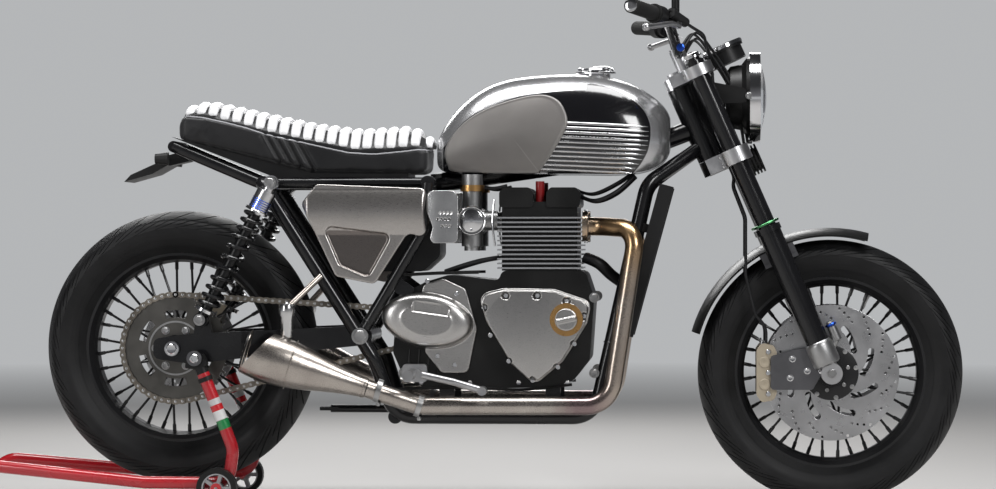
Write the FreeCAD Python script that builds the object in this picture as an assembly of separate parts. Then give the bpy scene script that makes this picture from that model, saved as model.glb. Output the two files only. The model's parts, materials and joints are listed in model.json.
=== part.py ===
import FreeCAD, Part
import math
import os
from FreeCAD import Vector

os.makedirs("parts", exist_ok=True)

# Cafe racer motorcycle on a rear paddock stand, in millimetres.
# X runs forward along the bike, Y to its left, Z up from the floor.
# Shapes are drawn from a place under the rear axle and moved to the middle when written.


def vec(x, y, z):
    return Vector(x, y, z)


# Driving dimensions of the whole motorcycle
wheelbase = 1482.0
rear_axle_height = 354.0
rake = math.radians(23.7)
front_tyre_radius = 300.0
rear_tyre_radius = 312.0
front_tyre_width = 120.0
rear_tyre_width = 160.0

# Fits and limits that every part shares
running_gap = 0.3
cut_overrun = 5.0
square_shares = ((0, 0), (1, 0), (1, 1), (0, 1))
straight_enough = 1e-4
short_enough = 1e-3
bend_reach_share = 0.45
axis_x = vec(1, 0, 0)
axis_y = vec(0, 1, 0)
axis_z = vec(0, 0, 1)
sides = (-1, 1)

# Tyres and wire wheels
rim_seat_radius = 216.0
rim_inner_radius = 195.0
rim_flange_radius = 225.0
rim_wall = 6.0
rim_flange_share = 0.62
rim_profile_shares = (0.4, 0.75)
tyre_bulge_share = 0.55
tyre_shoulder_share = 0.78
tyre_wall_width_share = 0.93
tyre_shoulder_width_share = 0.83
spoke_radius = 2.2
spoke_pairs = 18
spoke_sweep = math.radians(26.0)
spoke_spread_share = 0.25
rim_spoke_offset = 14.0
hub_flange_radius = 44.0
hub_flange_width = 6.0
hub_flange_offset = 42.0
hub_core_radius = 30.0
front_hub_half_width = 72.0
rear_hub_half_width = 115.0
axle_radius = 10.0
collar_radius = 16.0

# Discs and calipers
disc_radius = 153.0
disc_inner_radius = 118.0
disc_thickness = 4.5
disc_offset = 66.0
disc_arm_count = 8
disc_arm_width = 13.0
disc_arm_lean = math.radians(19.0)
disc_boss_radius = 38.0
rear_disc_radius = 110.0
rear_disc_inner_radius = 76.0
rear_disc_offset = 100.0
rear_disc_arm_count = 5
caliper_length = 134.0
caliper_depth = 46.0
caliper_half_width = 17.0
caliper_gap = 3.0
caliper_bend = 12.0
caliper_shares = (
    (0.0, 0.12), (0.25, 0.0), (0.85, 0.04), (1.0, 0.16), (0.9, 0.4), (0.9, 0.6), (1.0, 0.84), (0.85, 0.96),
    (0.25, 1.0), (0.0, 0.88),
)
piston_radius = 15.0
piston_depth = 3.0
piston_spacing = 58.0
rear_caliper_length = 74.0
rear_caliper_depth = 44.0
rear_caliper_angle = math.radians(62.0)
rear_caliper_bracket_thickness = 9.7
rear_caliper_bracket_width = 46.0

# Drive chain and sprockets
chain_pitch = 15.875
rear_teeth = 48
front_teeth = 17
chain_line = 105.0
chain_band_height = 13.0
chain_band_thickness = 3.0
chain_inner_half_gap = 5.2
chain_roller_radius = 4.2
chain_roller_faces = 6
chain_clearance = 4.0
chain_side_clearance = 2.0
front_sprocket = vec(505.0, 0, 400.0)
sprocket_thickness = 7.0
tooth_height = 4.0
tooth_depth = 4.7
tooth_tip_share = 0.42
tooth_root_share = 0.30
sprocket_slot_count = 6
sprocket_slot_width = 17.0
sprocket_slot_radius = 78.0
sprocket_slot_sweep = math.radians(36.0)
carrier_radius = 57.0

# Fork, yokes and steering head
fork_offset = 50.0
fork_spacing = 105.0
stanchion_radius = 21.5
slider_radius = 26.5
slider_start_up = 60.0
slider_end_up = 345.0
seal_radius = 29.5
seal_height = 14.0
slider_foot_share = 0.75
fork_top_rise = 24.0
fork_cap_radius = 15.0
fork_cap_height = 9.0
axle_clamp_radius = 24.0
axle_clamp_half_width = 21.2
lower_yoke_up = 534.0
top_yoke_up = 742.0
fork_top_up = top_yoke_up + fork_top_rise
yoke_thickness = 34.0
top_yoke_thickness = 26.0
yoke_clamp_radius = 35.0
yoke_bridge_depth = 36.0
stem_radius = 14.0
stem_nut_radius = 18.0
stem_nut_height = 10.0
headstock_radius = 32.0
headstock_gap = 1.0

# Front fender with the stays and caliper plates on the fork
fender_radius = 327.0
fender_thickness = 4.0
fender_half_width = 66.0
fender_front_angle = 74.5
fender_rear_angle = 163.8
fender_crown = 16.0
stay_half_length = 40.0
stay_low_up = 272.0
stay_shelf_thickness = 8.0
stay_web_height = 58.0
stay_web_thickness = 6.0
caliper_plate_corner = vec(1346.0, 83.0, 262.0)
caliper_plate_length = 116.0
caliper_plate_height = 100.0
caliper_plate_thickness = 8.0
caliper_plate_bend = 8.0
caliper_plate_shares = ((0.0, 0.0), (0.0, 0.76), (0.466, 0.9), (0.914, 1.0), (1.0, 0.38), (0.81, 0.0))

# Headlight, horn and speedometer
headlight_centre = vec(1300.0, 0, 924.0)
headlight_rim_radius = 102.0
headlight_rim_depth = 24.0
headlight_rim_wall = 12.0
lens_radius = 89.7
lens_start = 4.0
lens_edge = 16.0
lens_dome = 18.0
# Distance behind the rim and radius of each station of the bucket
bucket_stations = ((0.0, 93.0), (8.0, 88.0), (18.0, 75.0), (44.0, 70.0), (54.0, 56.0))
ear_corner = vec(1190.0, 88.0, 905.0)
ear_length = 106.0
ear_height = 55.0
ear_thickness = 10.0
ear_bend = 8.0
ear_shares = ((0.0, 0.0), (0.0, 1.0), (0.93, 0.64), (1.0, 0.35), (0.93, 0.05))
horn_drop = 12.0
horn_disc_radius = 34.0
horn_core_radius = 27.0
horn_ribs = 4
horn_rib_pitch = 8.0
horn_rib_thickness = 4.0
horn_stalk_radius = 5.0
horn_start = 6.0
speedometer_rise = 30.0
speedometer_forward = 72.4
speedometer_lean = math.radians(24.8)
speedometer_radius = 47.0
speedometer_depth = 38.0
speedometer_bezel = 5.0
speedometer_bezel_height = 8.0
speedometer_stalk_radius = 7.0
speedometer_stalk_reach = 45.0

# Handlebar and what is clamped on it
handlebar_radius = 11.1
handlebar_bend = 60.0
bar_bore_radius = 8.0
bar_bore_depth = 40.0
grip_radius = 16.5
grip_length = 122.0
grip_flange_radius = 21.0
grip_flange_width = 5.0
riser_height = 42.0
riser_forward = -25.0
riser_spacing = 40.0
riser_radius = 17.0
riser_cap = 5.0
bar_straight_half = 75.0
bar_shoulder = vec(-22.0, 190.0, 72.0)
bar_end = vec(-101.0, 372.0, 88.0)
housing_radius = 22.0
housing_length = 34.0
perch_gap = 2.0
perch_length = 18.0
perch_radius = 17.0
perch_lug_radius = 7.0
perch_reach = 36.0
lever_away = vec(0.857, 0, -0.515)
lever_gap = 1.2
lever_radius = 6.0
lever_ball_radius = 9.0
lever_bend = 60.0
lever_knee = vec(10.0, 70.0, -4.0)
lever_tip = vec(30.0, 8.0, -46.0)
master_start = vec(26.0, 0, 6.0)
master_turn = vec(8.0, 0, -14.0)
master_length = 60.0
master_radius = 11.0
master_arm_radius = 5.0
master_arm_end = vec(36.0, 36.0, 14.0)
cup_stalk_radius = 9.0
cup_stalk_height = 46.0
cup_radius = 18.0
cup_height = 42.0
cup_lid_height = 6.0

# Brake hoses on the steering
hose_radius = 3.5
hose_bend = 40.0
hose_yoke_side = 60.0
hose_yoke_forward = -20.0
hose_places = (
    vec(1262.0, 75.0, 722.0), vec(1290.0, 92.0, 650.0), vec(1290.0, 92.0, 520.0), vec(1312.0, 88.0, 430.0),
    vec(1336.0, 78.0, 404.0),
)
hose_caliper_side = 78.0
# Rise above the top yoke, distance forward and distance to the side
upper_hose_places = ((69.0, 43.0, 130.0), (7.0, 35.0, 62.0), (-88.0, 3.0, 62.0))
upper_hose_side = 50.0
upper_hose_rise = 40.0
hose_lead = 24.0

# Main frame
frame_radius = 16.0
backbone_radius = 22.0
rail_radius = 13.0
pivot = vec(424.0, 0, 383.0)
pivot_radius = 9.0
pivot_overhang = 20.0
rear_tube_y = 134.0
rail_z = 728.0
backbone_head_drop = 112.0
backbone_inset = 8.0
backbone_rise = 62.0
backbone_knee = vec(1010.0, 0, rail_z + backbone_rise)
backbone_end_x = 575.0
backbone_bend = 80.0
frame_bend = 60.0
downtube_head_drop = 50.0
downtube_head_side = 14.0
downtube_inset = 10.0
downtube_shoulder = vec(1068.0, 80.0, 726.0)
downtube_foot = vec(986.0, 100.0, 359.0)
cradle_front = vec(950.0, 110.0, 200.0)
cradle_rear = vec(500.0, 110.0, 200.0)
rear_tube_foot = vec(455.0, rear_tube_y, 330.0)
rear_tube_top_x = 200.0
rail_inner_y = 90.0
second_tube_knee = vec(567.0, rear_tube_y, 625.0)
second_tube_foot = vec(434.0, rear_tube_y, 400.0)
rail_side = 96.0
rail_rear_x = 190.0
loop_rise = 84.0
loop_place = vec(-10.0, 80.0, rail_z + loop_rise)
lug_corner = vec(478.0, 0, 472.0)
lug_length = 70.0
lug_height = 50.0
lug_thickness = 10.0
lug_bend = 6.0
lug_shares = ((0.0, 1.0), (0.34, 1.0), (1.0, 0.32), (0.77, 0.0), (0.386, 0.12))
engine_plate_x = (600.0, 840.0)
engine_plate_length = 34.0
engine_plate_thickness = 10.0
side_stand_pivot = vec(500.0, 146.0, 205.0)
side_stand_boss_radius = 13.0
side_stand_boss_end = 134.0
side_stand_pin_radius = 6.0
side_stand_pin_end = 158.0

# Swingarm, rear axle and rear shocks
swingarm_y = 140.0
swingarm_half_width = 13.0
swingarm_pivot_y = 102.0
swingarm_tube_radius = 24.0
swingarm_cross_radius = 16.0
swingarm_cross_back = 62.0
swingarm_cross_drop = 4.0
swingarm_end = 44.0
swingarm_end_half_height = 22.0
swingarm_knee_x = 40.0
swingarm_knee_half_height = 34.0
swingarm_nose = 18.0
swingarm_bend = 16.0
swingarm_taper_start = 150.0
swingarm_taper_end_back = 90.0
swingarm_taper_shift = 6.0
swingarm_front_reach = 30.0
swingarm_rear_reach = 60.0
shock_y = 180.0
shock_top = vec(228.0, 0, rail_z)
shock_bottom = vec(68.0, 0, 420.0)
shock_tower_half_base = 23.0
shock_tower_half_top = 12.0
shock_tower_base_z = 376.0
shock_tower_top_z = 436.0
shock_tower_bend = 10.0
shock_stud_radius = 8.0
shock_stud_overhang = 16.0
shock_eye_radius = 16.0
shock_eye_half_width = 12.0
shock_rod_radius = 13.0
shock_can_radius = 22.0
shock_can_start = 22.0
shock_can_end = 75.0
shock_cup_radius = 26.0
shock_cup_start = 20.0
shock_cup_end = 28.0
spring_turns = 9
spring_radius = 26.0
spring_sleeve_radius = 18.0
spring_coil_share = 0.55
axle_overhang = 14.0
nut_radius = 17.0
nut_height = 12.0
bobbin_place = vec(58.0, 0, 334.0)
bobbin_radius = 12.0
bobbin_boss_radius = 14.0
bobbin_boss_length = 20.0
bobbin_end = 24.0
bobbin_head_radius = 17.0
bobbin_head_length = 6.0

# Engine
engine = vec(809.0, 0, 382.0)
case_half_width = 118.0
case_corner = vec(496.0, 0, 262.0)
case_length = 454.0
case_height = 268.0
case_bend = 18.0
case_shares = (
    (0.0, 0.31), (0.02, 0.776), (0.163, 0.907), (0.273, 0.963), (0.526, 0.918), (0.542, 1.0),
    (0.956, 1.0), (1.0, 0.776), (0.978, 0.254), (0.901, 0.086), (0.802, 0.022), (0.396, 0.007),
    (0.174, 0.0), (0.053, 0.104),
)
barrel_back = 67.0
barrel_length = 170.0
barrel_half_width = 118.0
fin_count = 12
fin_pitch = 10.3
fin_thickness = 3.6
fin_reach = 10.0
fin_level_share = 0.4
head_height = 64.0
head_block_share = 0.5
cam_bump_length = 76.0
cam_bump_reach = 6.0
cam_bump_bend = 8.0
cam_bump_shares = ((0.0, 0.0), (0.0, 0.75), (0.13, 1.0), (0.87, 1.0), (1.0, 0.75), (1.0, 0.0))
cam_bump_low_share = 0.3
plug_forward = 18.0
plug_side = 95.0
plug_radius = 10.0
plug_height = 46.0
cover_depth = 44.0
cover_rim_depth = 12.0
cover_rim_share = 1.05
cover_forward = 8.0
cover_half_length = 122.0
cover_half_height = 104.0
cover_bend = 22.0
cover_shares = (
    (-1.0, 0.87), (-0.55, 1.0), (0.35, 0.98), (1.0, 0.72), (0.92, 0.28), (0.5, -0.5), (0.0, -1.0),
    (-0.42, -0.55), (-0.85, 0.3),
)
filler_place = vec(889.0, 0, 421.0)
filler_ring_radius = 37.0
filler_ring_height = 7.0
filler_cap_radius = 25.0
filler_cap_height = 10.0
filler_bar_length = 44.0
filler_bar_width = 7.0
filler_bar_height = 7.0
filler_bar_lean = 12.0
oval_centre = vec(574.0, 0, 418.0)
oval_half_length = 104.0
oval_half_height = 62.0
oval_lean = 8.0
# Distance out from the crankcase and size share of each station of the oval cover
oval_depths = (0.0, 14.0, 26.0, 34.0, 40.0)
oval_size_shares = (1.0, 0.985, 0.93, 0.8, 0.55)
oval_slot_centre = vec(585.0, 0, 446.0)
oval_slot_half_length = 42.0
oval_slot_half_height = 13.0
oval_slot_depth = 5.0
back_plate_corner = vec(558.0, 0, 300.0)
back_plate_length = 128.0
back_plate_height = 212.0
back_plate_thickness = 6.0
back_plate_bend = 14.0
back_plate_shares = (
    (0.06, 0.94), (0.41, 1.0), (0.8, 0.89), (1.0, 0.47), (0.84, 0.0), (0.375, 0.0), (0.09, 0.21), (0.0, 0.8),
)
left_cover_radii = (96.0, 92.0, 76.0)
left_cover_depths = (0.0, 20.0, 32.0)
left_gear_place = vec(610.0, 0, 410.0)
left_gear_radii = (58.0, 55.0, 44.0)
left_gear_depths = (0.0, 16.0, 24.0)

# Throttle bodies and covers behind the cylinders
throttle_place = vec(674.0, 0, 643.0)
throttle_inner = 60.0
throttle_outer = 128.0
throttle_cap_radius = 32.0
throttle_cap_groove = 3.0
throttle_side = 100.0
throttle_bowl_radius = 24.0
throttle_bowl_drop = 58.0
throttle_bowl_foot = 10.0
throttle_bowl_foot_radius = 18.0
throttle_neck_top = 84.0
throttle_neck_radius = 22.0
throttle_top_height = 104.0
brass_low = 66.0
brass_high = 80.0
brass_radius = 27.0
inlet_radius = 22.0
inlet_side = 94.0
airbox_low = vec(340.0, -88.0, 528.0)
airbox_high = vec(600.0, 88.0, 700.0)
airbox_bend = 20.0
airbox_shares = ((0.0, 0.3), (0.0, 1.0), (1.0, 1.0), (1.0, 0.2), (0.85, 0.0), (0.3, 0.0))
throttle_cover_corner = vec(575.0, 147.2, 592.0)
throttle_cover_length = 70.0
throttle_cover_height = 118.0
throttle_cover_thickness = 9.8
throttle_cover_bend = 12.0
throttle_cover_shares = (
    (0.06, 0.0), (0.2, 0.3), (0.0, 0.6), (0.0, 0.88), (0.12, 1.0), (0.9, 1.0), (1.0, 0.88), (1.0, 0.0),
)
cover_hole_radius = 2.6
cover_hole_pitch = 8.4
cover_hole_rows = ((0.62, 0.57), (0.54, 0.455), (0.62, 0.325))
cover_hole_counts = (4, 4, 3)
side_cover_corner = vec(292.0, 147.2, 500.0)
side_cover_length = 284.0
side_cover_height = 225.0
side_cover_thickness = 13.8
side_cover_bend = 14.0
side_cover_shares = (
    (0.12, 1.0), (1.0, 0.955), (0.975, 0.72), (1.0, 0.471), (0.842, 0.502), (0.585, 0.0), (0.275, 0.076),
    (0.0, 0.8),
)
side_recess_depth = 5.0
side_recess_shares = ((0.165, 0.59), (0.729, 0.502), (0.535, 0.062), (0.303, 0.187))

# Tank and seat
tank_rear_x = 592.0
tank_length = 528.0
tank_over_rail = 20.0
tank_bottom_z = rail_z + tank_over_rail
tank_height = 228.0
tank_half_width = 138.0
# Station along the tank, height of the bottom, height of the top and half width
tank_station_shares = (
    (0.0, 0.10, 0.34, 0.50), (0.04, 0.02, 0.52, 0.72), (0.2, 0.0, 0.86, 0.9), (0.42, 0.0, 0.985, 1.0),
    (0.62, 0.0, 1.0, 1.0), (0.8, 0.0, 0.93, 0.96), (0.93, 0.06, 0.77, 0.8), (1.0, 0.26, 0.56, 0.45),
)
tank_section_shares = (
    (-0.8, 0.0), (0.8, 0.0), (1.0, 0.22), (0.98, 0.62), (0.66, 0.93), (0.0, 1.0), (-0.66, 0.93),
    (-0.98, 0.62), (-1.0, 0.22),
)
tunnel_half_width = 32.0
tunnel_clearance = 18.0
tunnel_rear_reach = 23.0
cap_rise = 212.0
cap_place = vec(950.0, 0, tank_bottom_z + cap_rise)
cap_radius = 34.0
cap_height = 30.0
cap_bevel = 5.0
seat_length = 600.0
seat_height = 160.0
seat_over_rail = 22.0
seat_low = vec(-12.0, 0, rail_z + seat_over_rail)
seat_half_width = 120.0
# Station along the seat, bottom, edge, crown and half width
seat_station_shares = (
    (0.0, 0.525, 0.72, 0.8, 0.8), (0.02, 0.506, 0.83, 0.93, 0.88), (0.12, 0.41, 0.8, 0.975, 0.94),
    (0.337, 0.2, 0.61, 0.8, 0.985), (0.537, 0.013, 0.45, 0.64, 1.0), (0.72, 0.0, 0.33, 0.555, 0.98),
    (0.9, 0.0, 0.36, 0.6, 0.9), (0.98, 0.013, 0.38, 0.57, 0.82), (1.0, 0.06, 0.32, 0.47, 0.76),
)
seat_crown_shares = (0.55, 0.85)
pan_half_width = 92.0
pan_front_share = 0.95
pan_corner_x = 224.0

# Tail plate, lamp and indicators
tail_over_rail = 4.0
tail_corner = vec(-125.0, 0, rail_z + tail_over_rail)
tail_length = 100.0
tail_height = 43.0
tail_half_width = 70.0
tail_shares = ((0.0, 0.0), (0.15, 0.37), (0.75, 1.0), (1.0, 0.88), (0.65, 0.42))
bracket_over_rail = 42.0
bracket_corner = vec(-50.0, 0, rail_z + bracket_over_rail)
bracket_length = 70.0
bracket_height = 29.0
bracket_half_width = 30.0
bracket_shares = ((0.0, 0.17), (0.07, 0.69), (0.571, 1.0), (1.0, 0.345), (0.357, 0.0))
indicator_over_rail = 56.0
indicator_place = vec(-34.0, 0, rail_z + indicator_over_rail)
indicator_reach = 96.0
indicator_stalk_radius = 4.0
indicator_radius = 15.0
indicator_rear_radius = 11.0
indicator_length = 30.0

# Exhaust
header_radius = 20.5
header_bend = 62.0
port_side = 75.0
port_z = 630.0
header_start_reach = 40.0
header_shoulder = vec(1047.0, 144.0, 624.0)
header_corner = vec(986.0, 160.0, 228.0)
header_rear = vec(560.0, 178.0, 228.0)
silencer_start = vec(443.0, 198.0, 268.0)
silencer_end = vec(172.0, 214.0, 352.0)
# Station along the silencer and its radius
silencer_station_shares = (0.0, 0.35, 0.75, 1.0)
silencer_radii = (22.5, 38.5, 56.0, 48.0)
silencer_bore_radius = 40.0
silencer_bore_depth = 70.0
silencer_slash_lean = math.radians(28.0)
silencer_slash_back = 24.0
port_flange_radius = 34.0
port_flange_thickness = 12.0
hanger_top = vec(336.0, 0, 518.0)
hanger_knee = vec(263.0, 196.0, 444.0)
hanger_foot = vec(262.0, 206.0, 362.0)
hanger_radius = 7.0
hanger_boss_radius = 13.0
hanger_boss_half_width = 9.0

# Radiator
radiator_base = vec(1012.0, 0, 392.0)
radiator_lean = math.radians(15.2)
radiator_thickness = 22.0
radiator_half_width = 118.0
radiator_height = 340.0
radiator_tank_width = 24.0
radiator_tank_reach = 5.0
radiator_lug_levels = (60.0, 230.0)
radiator_lug_height = 20.0
radiator_lug_reach = 34.0
radiator_lug_side = 85.0
radiator_lug_width = 10.0

# Foot pegs, brake pedal and gear lever
peg_place = vec(545.0, 0, 300.0)
peg_inner = 150.0
peg_outer = 290.0
peg_radius = 12.0
peg_plate_corner = vec(520.0, 0, 280.0)
peg_plate_length = 55.0
peg_plate_height = 40.0
peg_plate_bend = 8.0
lever_pivot = vec(560.0, 200.0, 300.0)
pedal_knee = vec(640.0, 200.0, 282.0)
pedal_tip = vec(705.0, 215.0, 264.0)
pedal_radius = 8.0
pedal_bend = 20.0
pedal_pad_radius = 10.0
pedal_pad_length = 34.0
lever_link_radius = 10.0
lever_link_end = 211.0

# Side stand
side_stand_eye_radius = 15.0
side_stand_eye_half_width = 10.0
side_stand_leg = vec(-175.0, 6.0, 0)
side_stand_leg_radius = 9.0
side_stand_foot = vec(44.0, 34.0, 8.0)
side_stand_foot_place = vec(-200.0, -8.0, -4.0)

# Paddock stand
stand_tube_radius = 14.0
stand_half_width = 190.0
stand_bend = 60.0
stand_rear_x = -540.0
stand_arm_top = vec(75.0, 0, 300.0)
stand_arm_low = vec(123.0, 0, 182.0)
stand_knee = vec(143.0, 0, 130.0)
stand_foot = vec(133.0, 0, 54.0)
stand_base = vec(-60.0, 176.0, 54.0)
stand_rise = vec(-430.0, 130.0, 88.0)
stand_rear_half_width = 120.0
stand_wheel_x = 111.0
stand_wheel_radius = 45.0
stand_wheel_width = 28.0
stand_wheel_gap = 18.0
stand_wheel_rim_radius = 30.0
stand_wheel_hub_radius = 14.0
stand_wheel_spokes = 5
stand_wheel_spoke_width = 8.0
stand_wheel_spoke_half_depth = 12.0
stand_axle_radius = 8.0
stand_axle_end = 6.0
stand_axle_head_radius = 12.0
cradle_stem_length = 38.0
cradle_half_width = 14.0
cradle_corner = vec(36.0, 0, 308.0)
cradle_length = 50.0
cradle_height = 36.0
cradle_bend = 4.0
cradle_shares = ((0.0, 0.11), (0.04, 0.78), (0.8, 1.0), (1.0, 0.33), (0.64, 0.0))


front_axle = vec(wheelbase, 0, front_tyre_radius)
rear_axle = vec(0, 0, rear_axle_height)
steering_up = vec(-math.sin(rake), 0, math.cos(rake))
steering_forward = vec(math.cos(rake), 0, math.sin(rake))
middle_x = (wheelbase + front_tyre_radius + stand_rear_x) / 2
chain_radius_rear = chain_pitch / 2 / math.sin(math.pi / rear_teeth)
chain_radius_front = chain_pitch / 2 / math.sin(math.pi / front_teeth)


# Helpers

def on_fork(up, forward, side=0):
    """A place measured along the fork legs from the front axle, ahead of them, and to the left."""
    return front_axle + steering_up * up + steering_forward * forward + axis_y * side


def sided(place, side):
    """A place given for the left, on the side asked for."""
    return vec(place.x, side * place.y, place.z)


def around_y(angle):
    """The direction at an angle from straight ahead, in the bike's upright plane."""
    return vec(math.cos(angle), 0, math.sin(angle))


def largest(shape):
    return max(shape.Solids, key=lambda solid: solid.Volume)


def fused(shapes):
    whole = shapes[0]
    if len(shapes) > 1:
        whole = whole.multiFuse(shapes[1:])
    return whole.removeSplitter()


def rod(start, end, radius):
    """A round bar from one place to another."""
    along = end - start
    return Part.makeCylinder(radius, along.Length, start, along)


def ring(start, end, radius, bore):
    return rod(start, end, radius).cut(rod(start, end, bore))


def cross_rod(place, near, far, radius):
    """A round bar across the bike between two distances to the left of the middle."""
    return rod(vec(place.x, near, place.z), vec(place.x, far, place.z), radius)


def corner_arc(before, corner, after, bend, limit):
    """Start, middle and end of the arc that rounds a corner, and nothing where it is straight."""
    back = (before - corner).normalize()
    ahead = (after - corner).normalize()
    half = (math.pi - back.getAngle(ahead)) / 2
    if half < straight_enough:
        return None
    shorter = min((before - corner).Length, (after - corner).Length)
    reach = min(bend * math.tan(half), limit * shorter)
    if reach < short_enough:
        return None
    radius = reach / math.tan(half)
    inward = (back + ahead).normalize()
    middle = corner + inward * (radius / math.cos(half) - radius)
    return corner + back * reach, middle, corner + ahead * reach


def rounded_path(points, bend):
    """Straight runs joined by tangent arcs."""
    edges = []
    here = points[0]
    for before, corner, after in zip(points, points[1:], points[2:]):
        arc = corner_arc(before, corner, after, bend, bend_reach_share)
        if arc is None:
            continue
        edges.append(Part.makeLine(here, arc[0]))
        edges.append(Part.Arc(*arc).toShape())
        here = arc[2]
    edges.append(Part.makeLine(here, points[-1]))
    return Part.Wire(edges)


def pipe(points, radius, bend):
    """A round tube along straight runs with bent corners."""
    path = rounded_path(points, bend)
    profile = Part.Wire(Part.makeCircle(radius, points[0], points[1] - points[0]))
    return path.makePipeShell([profile], True, False)


def bent_outline(points, bend):
    """A closed wire through points in one plane with every corner rounded."""
    count = len(points)
    ends = []
    for index, corner in enumerate(points):
        arc = corner_arc(points[index - 1], corner, points[(index + 1) % count], bend, bend_reach_share)
        ends.append(arc if arc else (corner, None, corner))
    edges = []
    for index, (start, middle, end) in enumerate(ends):
        if middle is not None:
            edges.append(Part.Arc(start, middle, end).toShape())
        edges.append(Part.makeLine(end, ends[(index + 1) % count][0]))
    return Part.Wire(edges)


def side_plate(points, near, far, bend=0):
    """A plate seen from the side, between two distances to the left of the middle."""
    low, high = min(near, far), max(near, far)
    wire = bent_outline([vec(x, low, z) for x, z in points], bend)
    return Part.Face(wire).extrude(axis_y * (high - low))


def outline(corner, length, height, shares):
    """Points of a side outline from shares of a length and a height beyond a place."""
    return [(corner.x + a * length, corner.z + b * height) for a, b in shares]


def turned(profile, centre):
    """A closed profile of (radius, distance across) turned about an axle through a centre."""
    points = [centre + axis_x * radius + axis_y * across for radius, across in profile]
    wire = Part.makePolygon(points + [points[0]])
    return Part.Face(wire).revolve(centre, axis_y, 360)


def leaning_box(low, high, origin, along, across, up):
    """A box between two corners of a leaning frame."""
    shape = Part.makeBox(high.x - low.x, high.y - low.y, high.z - low.z, low)
    place = FreeCAD.Placement(origin, FreeCAD.Rotation(along, across, up, "XYZ"))
    shape.Placement = place.multiply(shape.Placement)
    return shape


def fork_box(low, high):
    """A box in the fork's frame: ahead of the legs, to the left, and up along them."""
    return leaning_box(low, high, front_axle, steering_forward, axis_y, steering_up)


def stacked_circles(centre, along, steps):
    """A solid through circles given as (distance along, radius)."""
    wires = [Part.Wire(Part.makeCircle(radius, centre + along * step, along)) for step, radius in steps]
    return Part.makeLoft(wires, True, True)


# Tyres and wire wheels

def tyre(centre, radius, width):
    """A solid tyre with a round crown, bulging walls and beads on the rim seats."""
    half = width / 2
    bead = half * rim_flange_share
    wall = radius - rim_flange_radius
    bulge_radius = rim_flange_radius + wall * tyre_bulge_share
    shoulder_radius = rim_flange_radius + wall * tyre_shoulder_share

    def at(out, across):
        return centre + axis_x * out + axis_y * across

    wall_radius = (rim_flange_radius + bulge_radius) / 2
    wall_half = half * tyre_wall_width_share
    shoulder_half = half * tyre_shoulder_width_share
    right_wall = Part.Arc(at(rim_seat_radius, -bead), at(wall_radius, -wall_half), at(bulge_radius, -half))
    left_wall = Part.Arc(at(bulge_radius, half), at(wall_radius, wall_half), at(rim_seat_radius, bead))
    crown = Part.BSplineCurve()
    crown.interpolate([
        at(bulge_radius, -half), at(shoulder_radius, -shoulder_half), at(radius, 0),
        at(shoulder_radius, shoulder_half), at(bulge_radius, half),
    ])
    seat_line = Part.makeLine(at(rim_seat_radius, bead), at(rim_seat_radius, -bead))
    wire = Part.Wire([right_wall.toShape(), crown.toShape(), left_wall.toShape(), seat_line])
    return Part.Face(wire).revolve(centre, axis_y, 360)


def rim(centre, width):
    """The rim's ring: a shallow well between two seats, with edges that meet the tyre."""
    bead = width / 2 * rim_flange_share
    well, side = (bead * share for share in rim_profile_shares)
    return turned([
        (rim_inner_radius, -well), (rim_inner_radius + rim_wall, -side), (rim_seat_radius - rim_wall, -bead),
        (rim_seat_radius, -bead), (rim_seat_radius, bead), (rim_seat_radius - rim_wall, bead),
        (rim_inner_radius + rim_wall, side), (rim_inner_radius, well),
    ], centre)


def wire_wheel(centre, width, hub_half_width):
    """Rim, hub and crossed wire spokes as one piece, bored for the axle."""
    pieces = [rim(centre, width), cross_rod(centre, -hub_half_width, hub_half_width, hub_core_radius)]
    for side in sides:
        inner = side * (hub_flange_offset - hub_flange_width / 2)
        outer = side * (hub_flange_offset + hub_flange_width / 2)
        pieces.append(cross_rod(centre, inner, outer, hub_flange_radius))
    hub_reach = hub_flange_radius - hub_flange_width
    rim_reach = rim_inner_radius + rim_wall / 2
    for index in range(spoke_pairs):
        for lean in sides:
            side = 1 if (index + (lean > 0)) % 2 else -1
            angle = 2 * math.pi * (index + spoke_spread_share * lean) / spoke_pairs
            hub_angle = angle - lean * spoke_sweep
            start = centre + around_y(hub_angle) * hub_reach + axis_y * (side * hub_flange_offset)
            end = centre + around_y(angle) * rim_reach + axis_y * (side * rim_spoke_offset)
            pieces.append(rod(start, end, spoke_radius))
    reach = hub_half_width + cut_overrun
    whole = pieces[0].multiFuse(pieces[1:])
    return whole.cut(cross_rod(centre, -reach, reach, axle_radius + running_gap))


# Discs and calipers

def front_disc(side):
    """A brake disc: a wide ring carried by slanting arms from a boss on the hub."""
    near = side * disc_offset - disc_thickness / 2
    far = near + disc_thickness
    start = front_axle + axis_y * near
    end = front_axle + axis_y * far
    pieces = [ring(start, end, disc_radius, disc_inner_radius), rod(start, end, disc_boss_radius)]
    reach = disc_inner_radius + disc_thickness
    for index in range(disc_arm_count):
        angle = 2 * math.pi * index / disc_arm_count
        foot = start + around_y(angle) * (disc_boss_radius - disc_arm_width / 2)
        tip = start + around_y(angle + disc_arm_lean) * reach
        across = (tip - foot).cross(axis_y).normalize() * (disc_arm_width / 2)
        wire = Part.makePolygon([foot + across, foot - across, tip - across, tip + across, foot + across])
        pieces.append(Part.Face(wire).extrude(axis_y * disc_thickness))
    bore = cross_rod(front_axle, near - cut_overrun, far + cut_overrun, hub_core_radius + running_gap)
    return fused(pieces).cut(bore)


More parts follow.
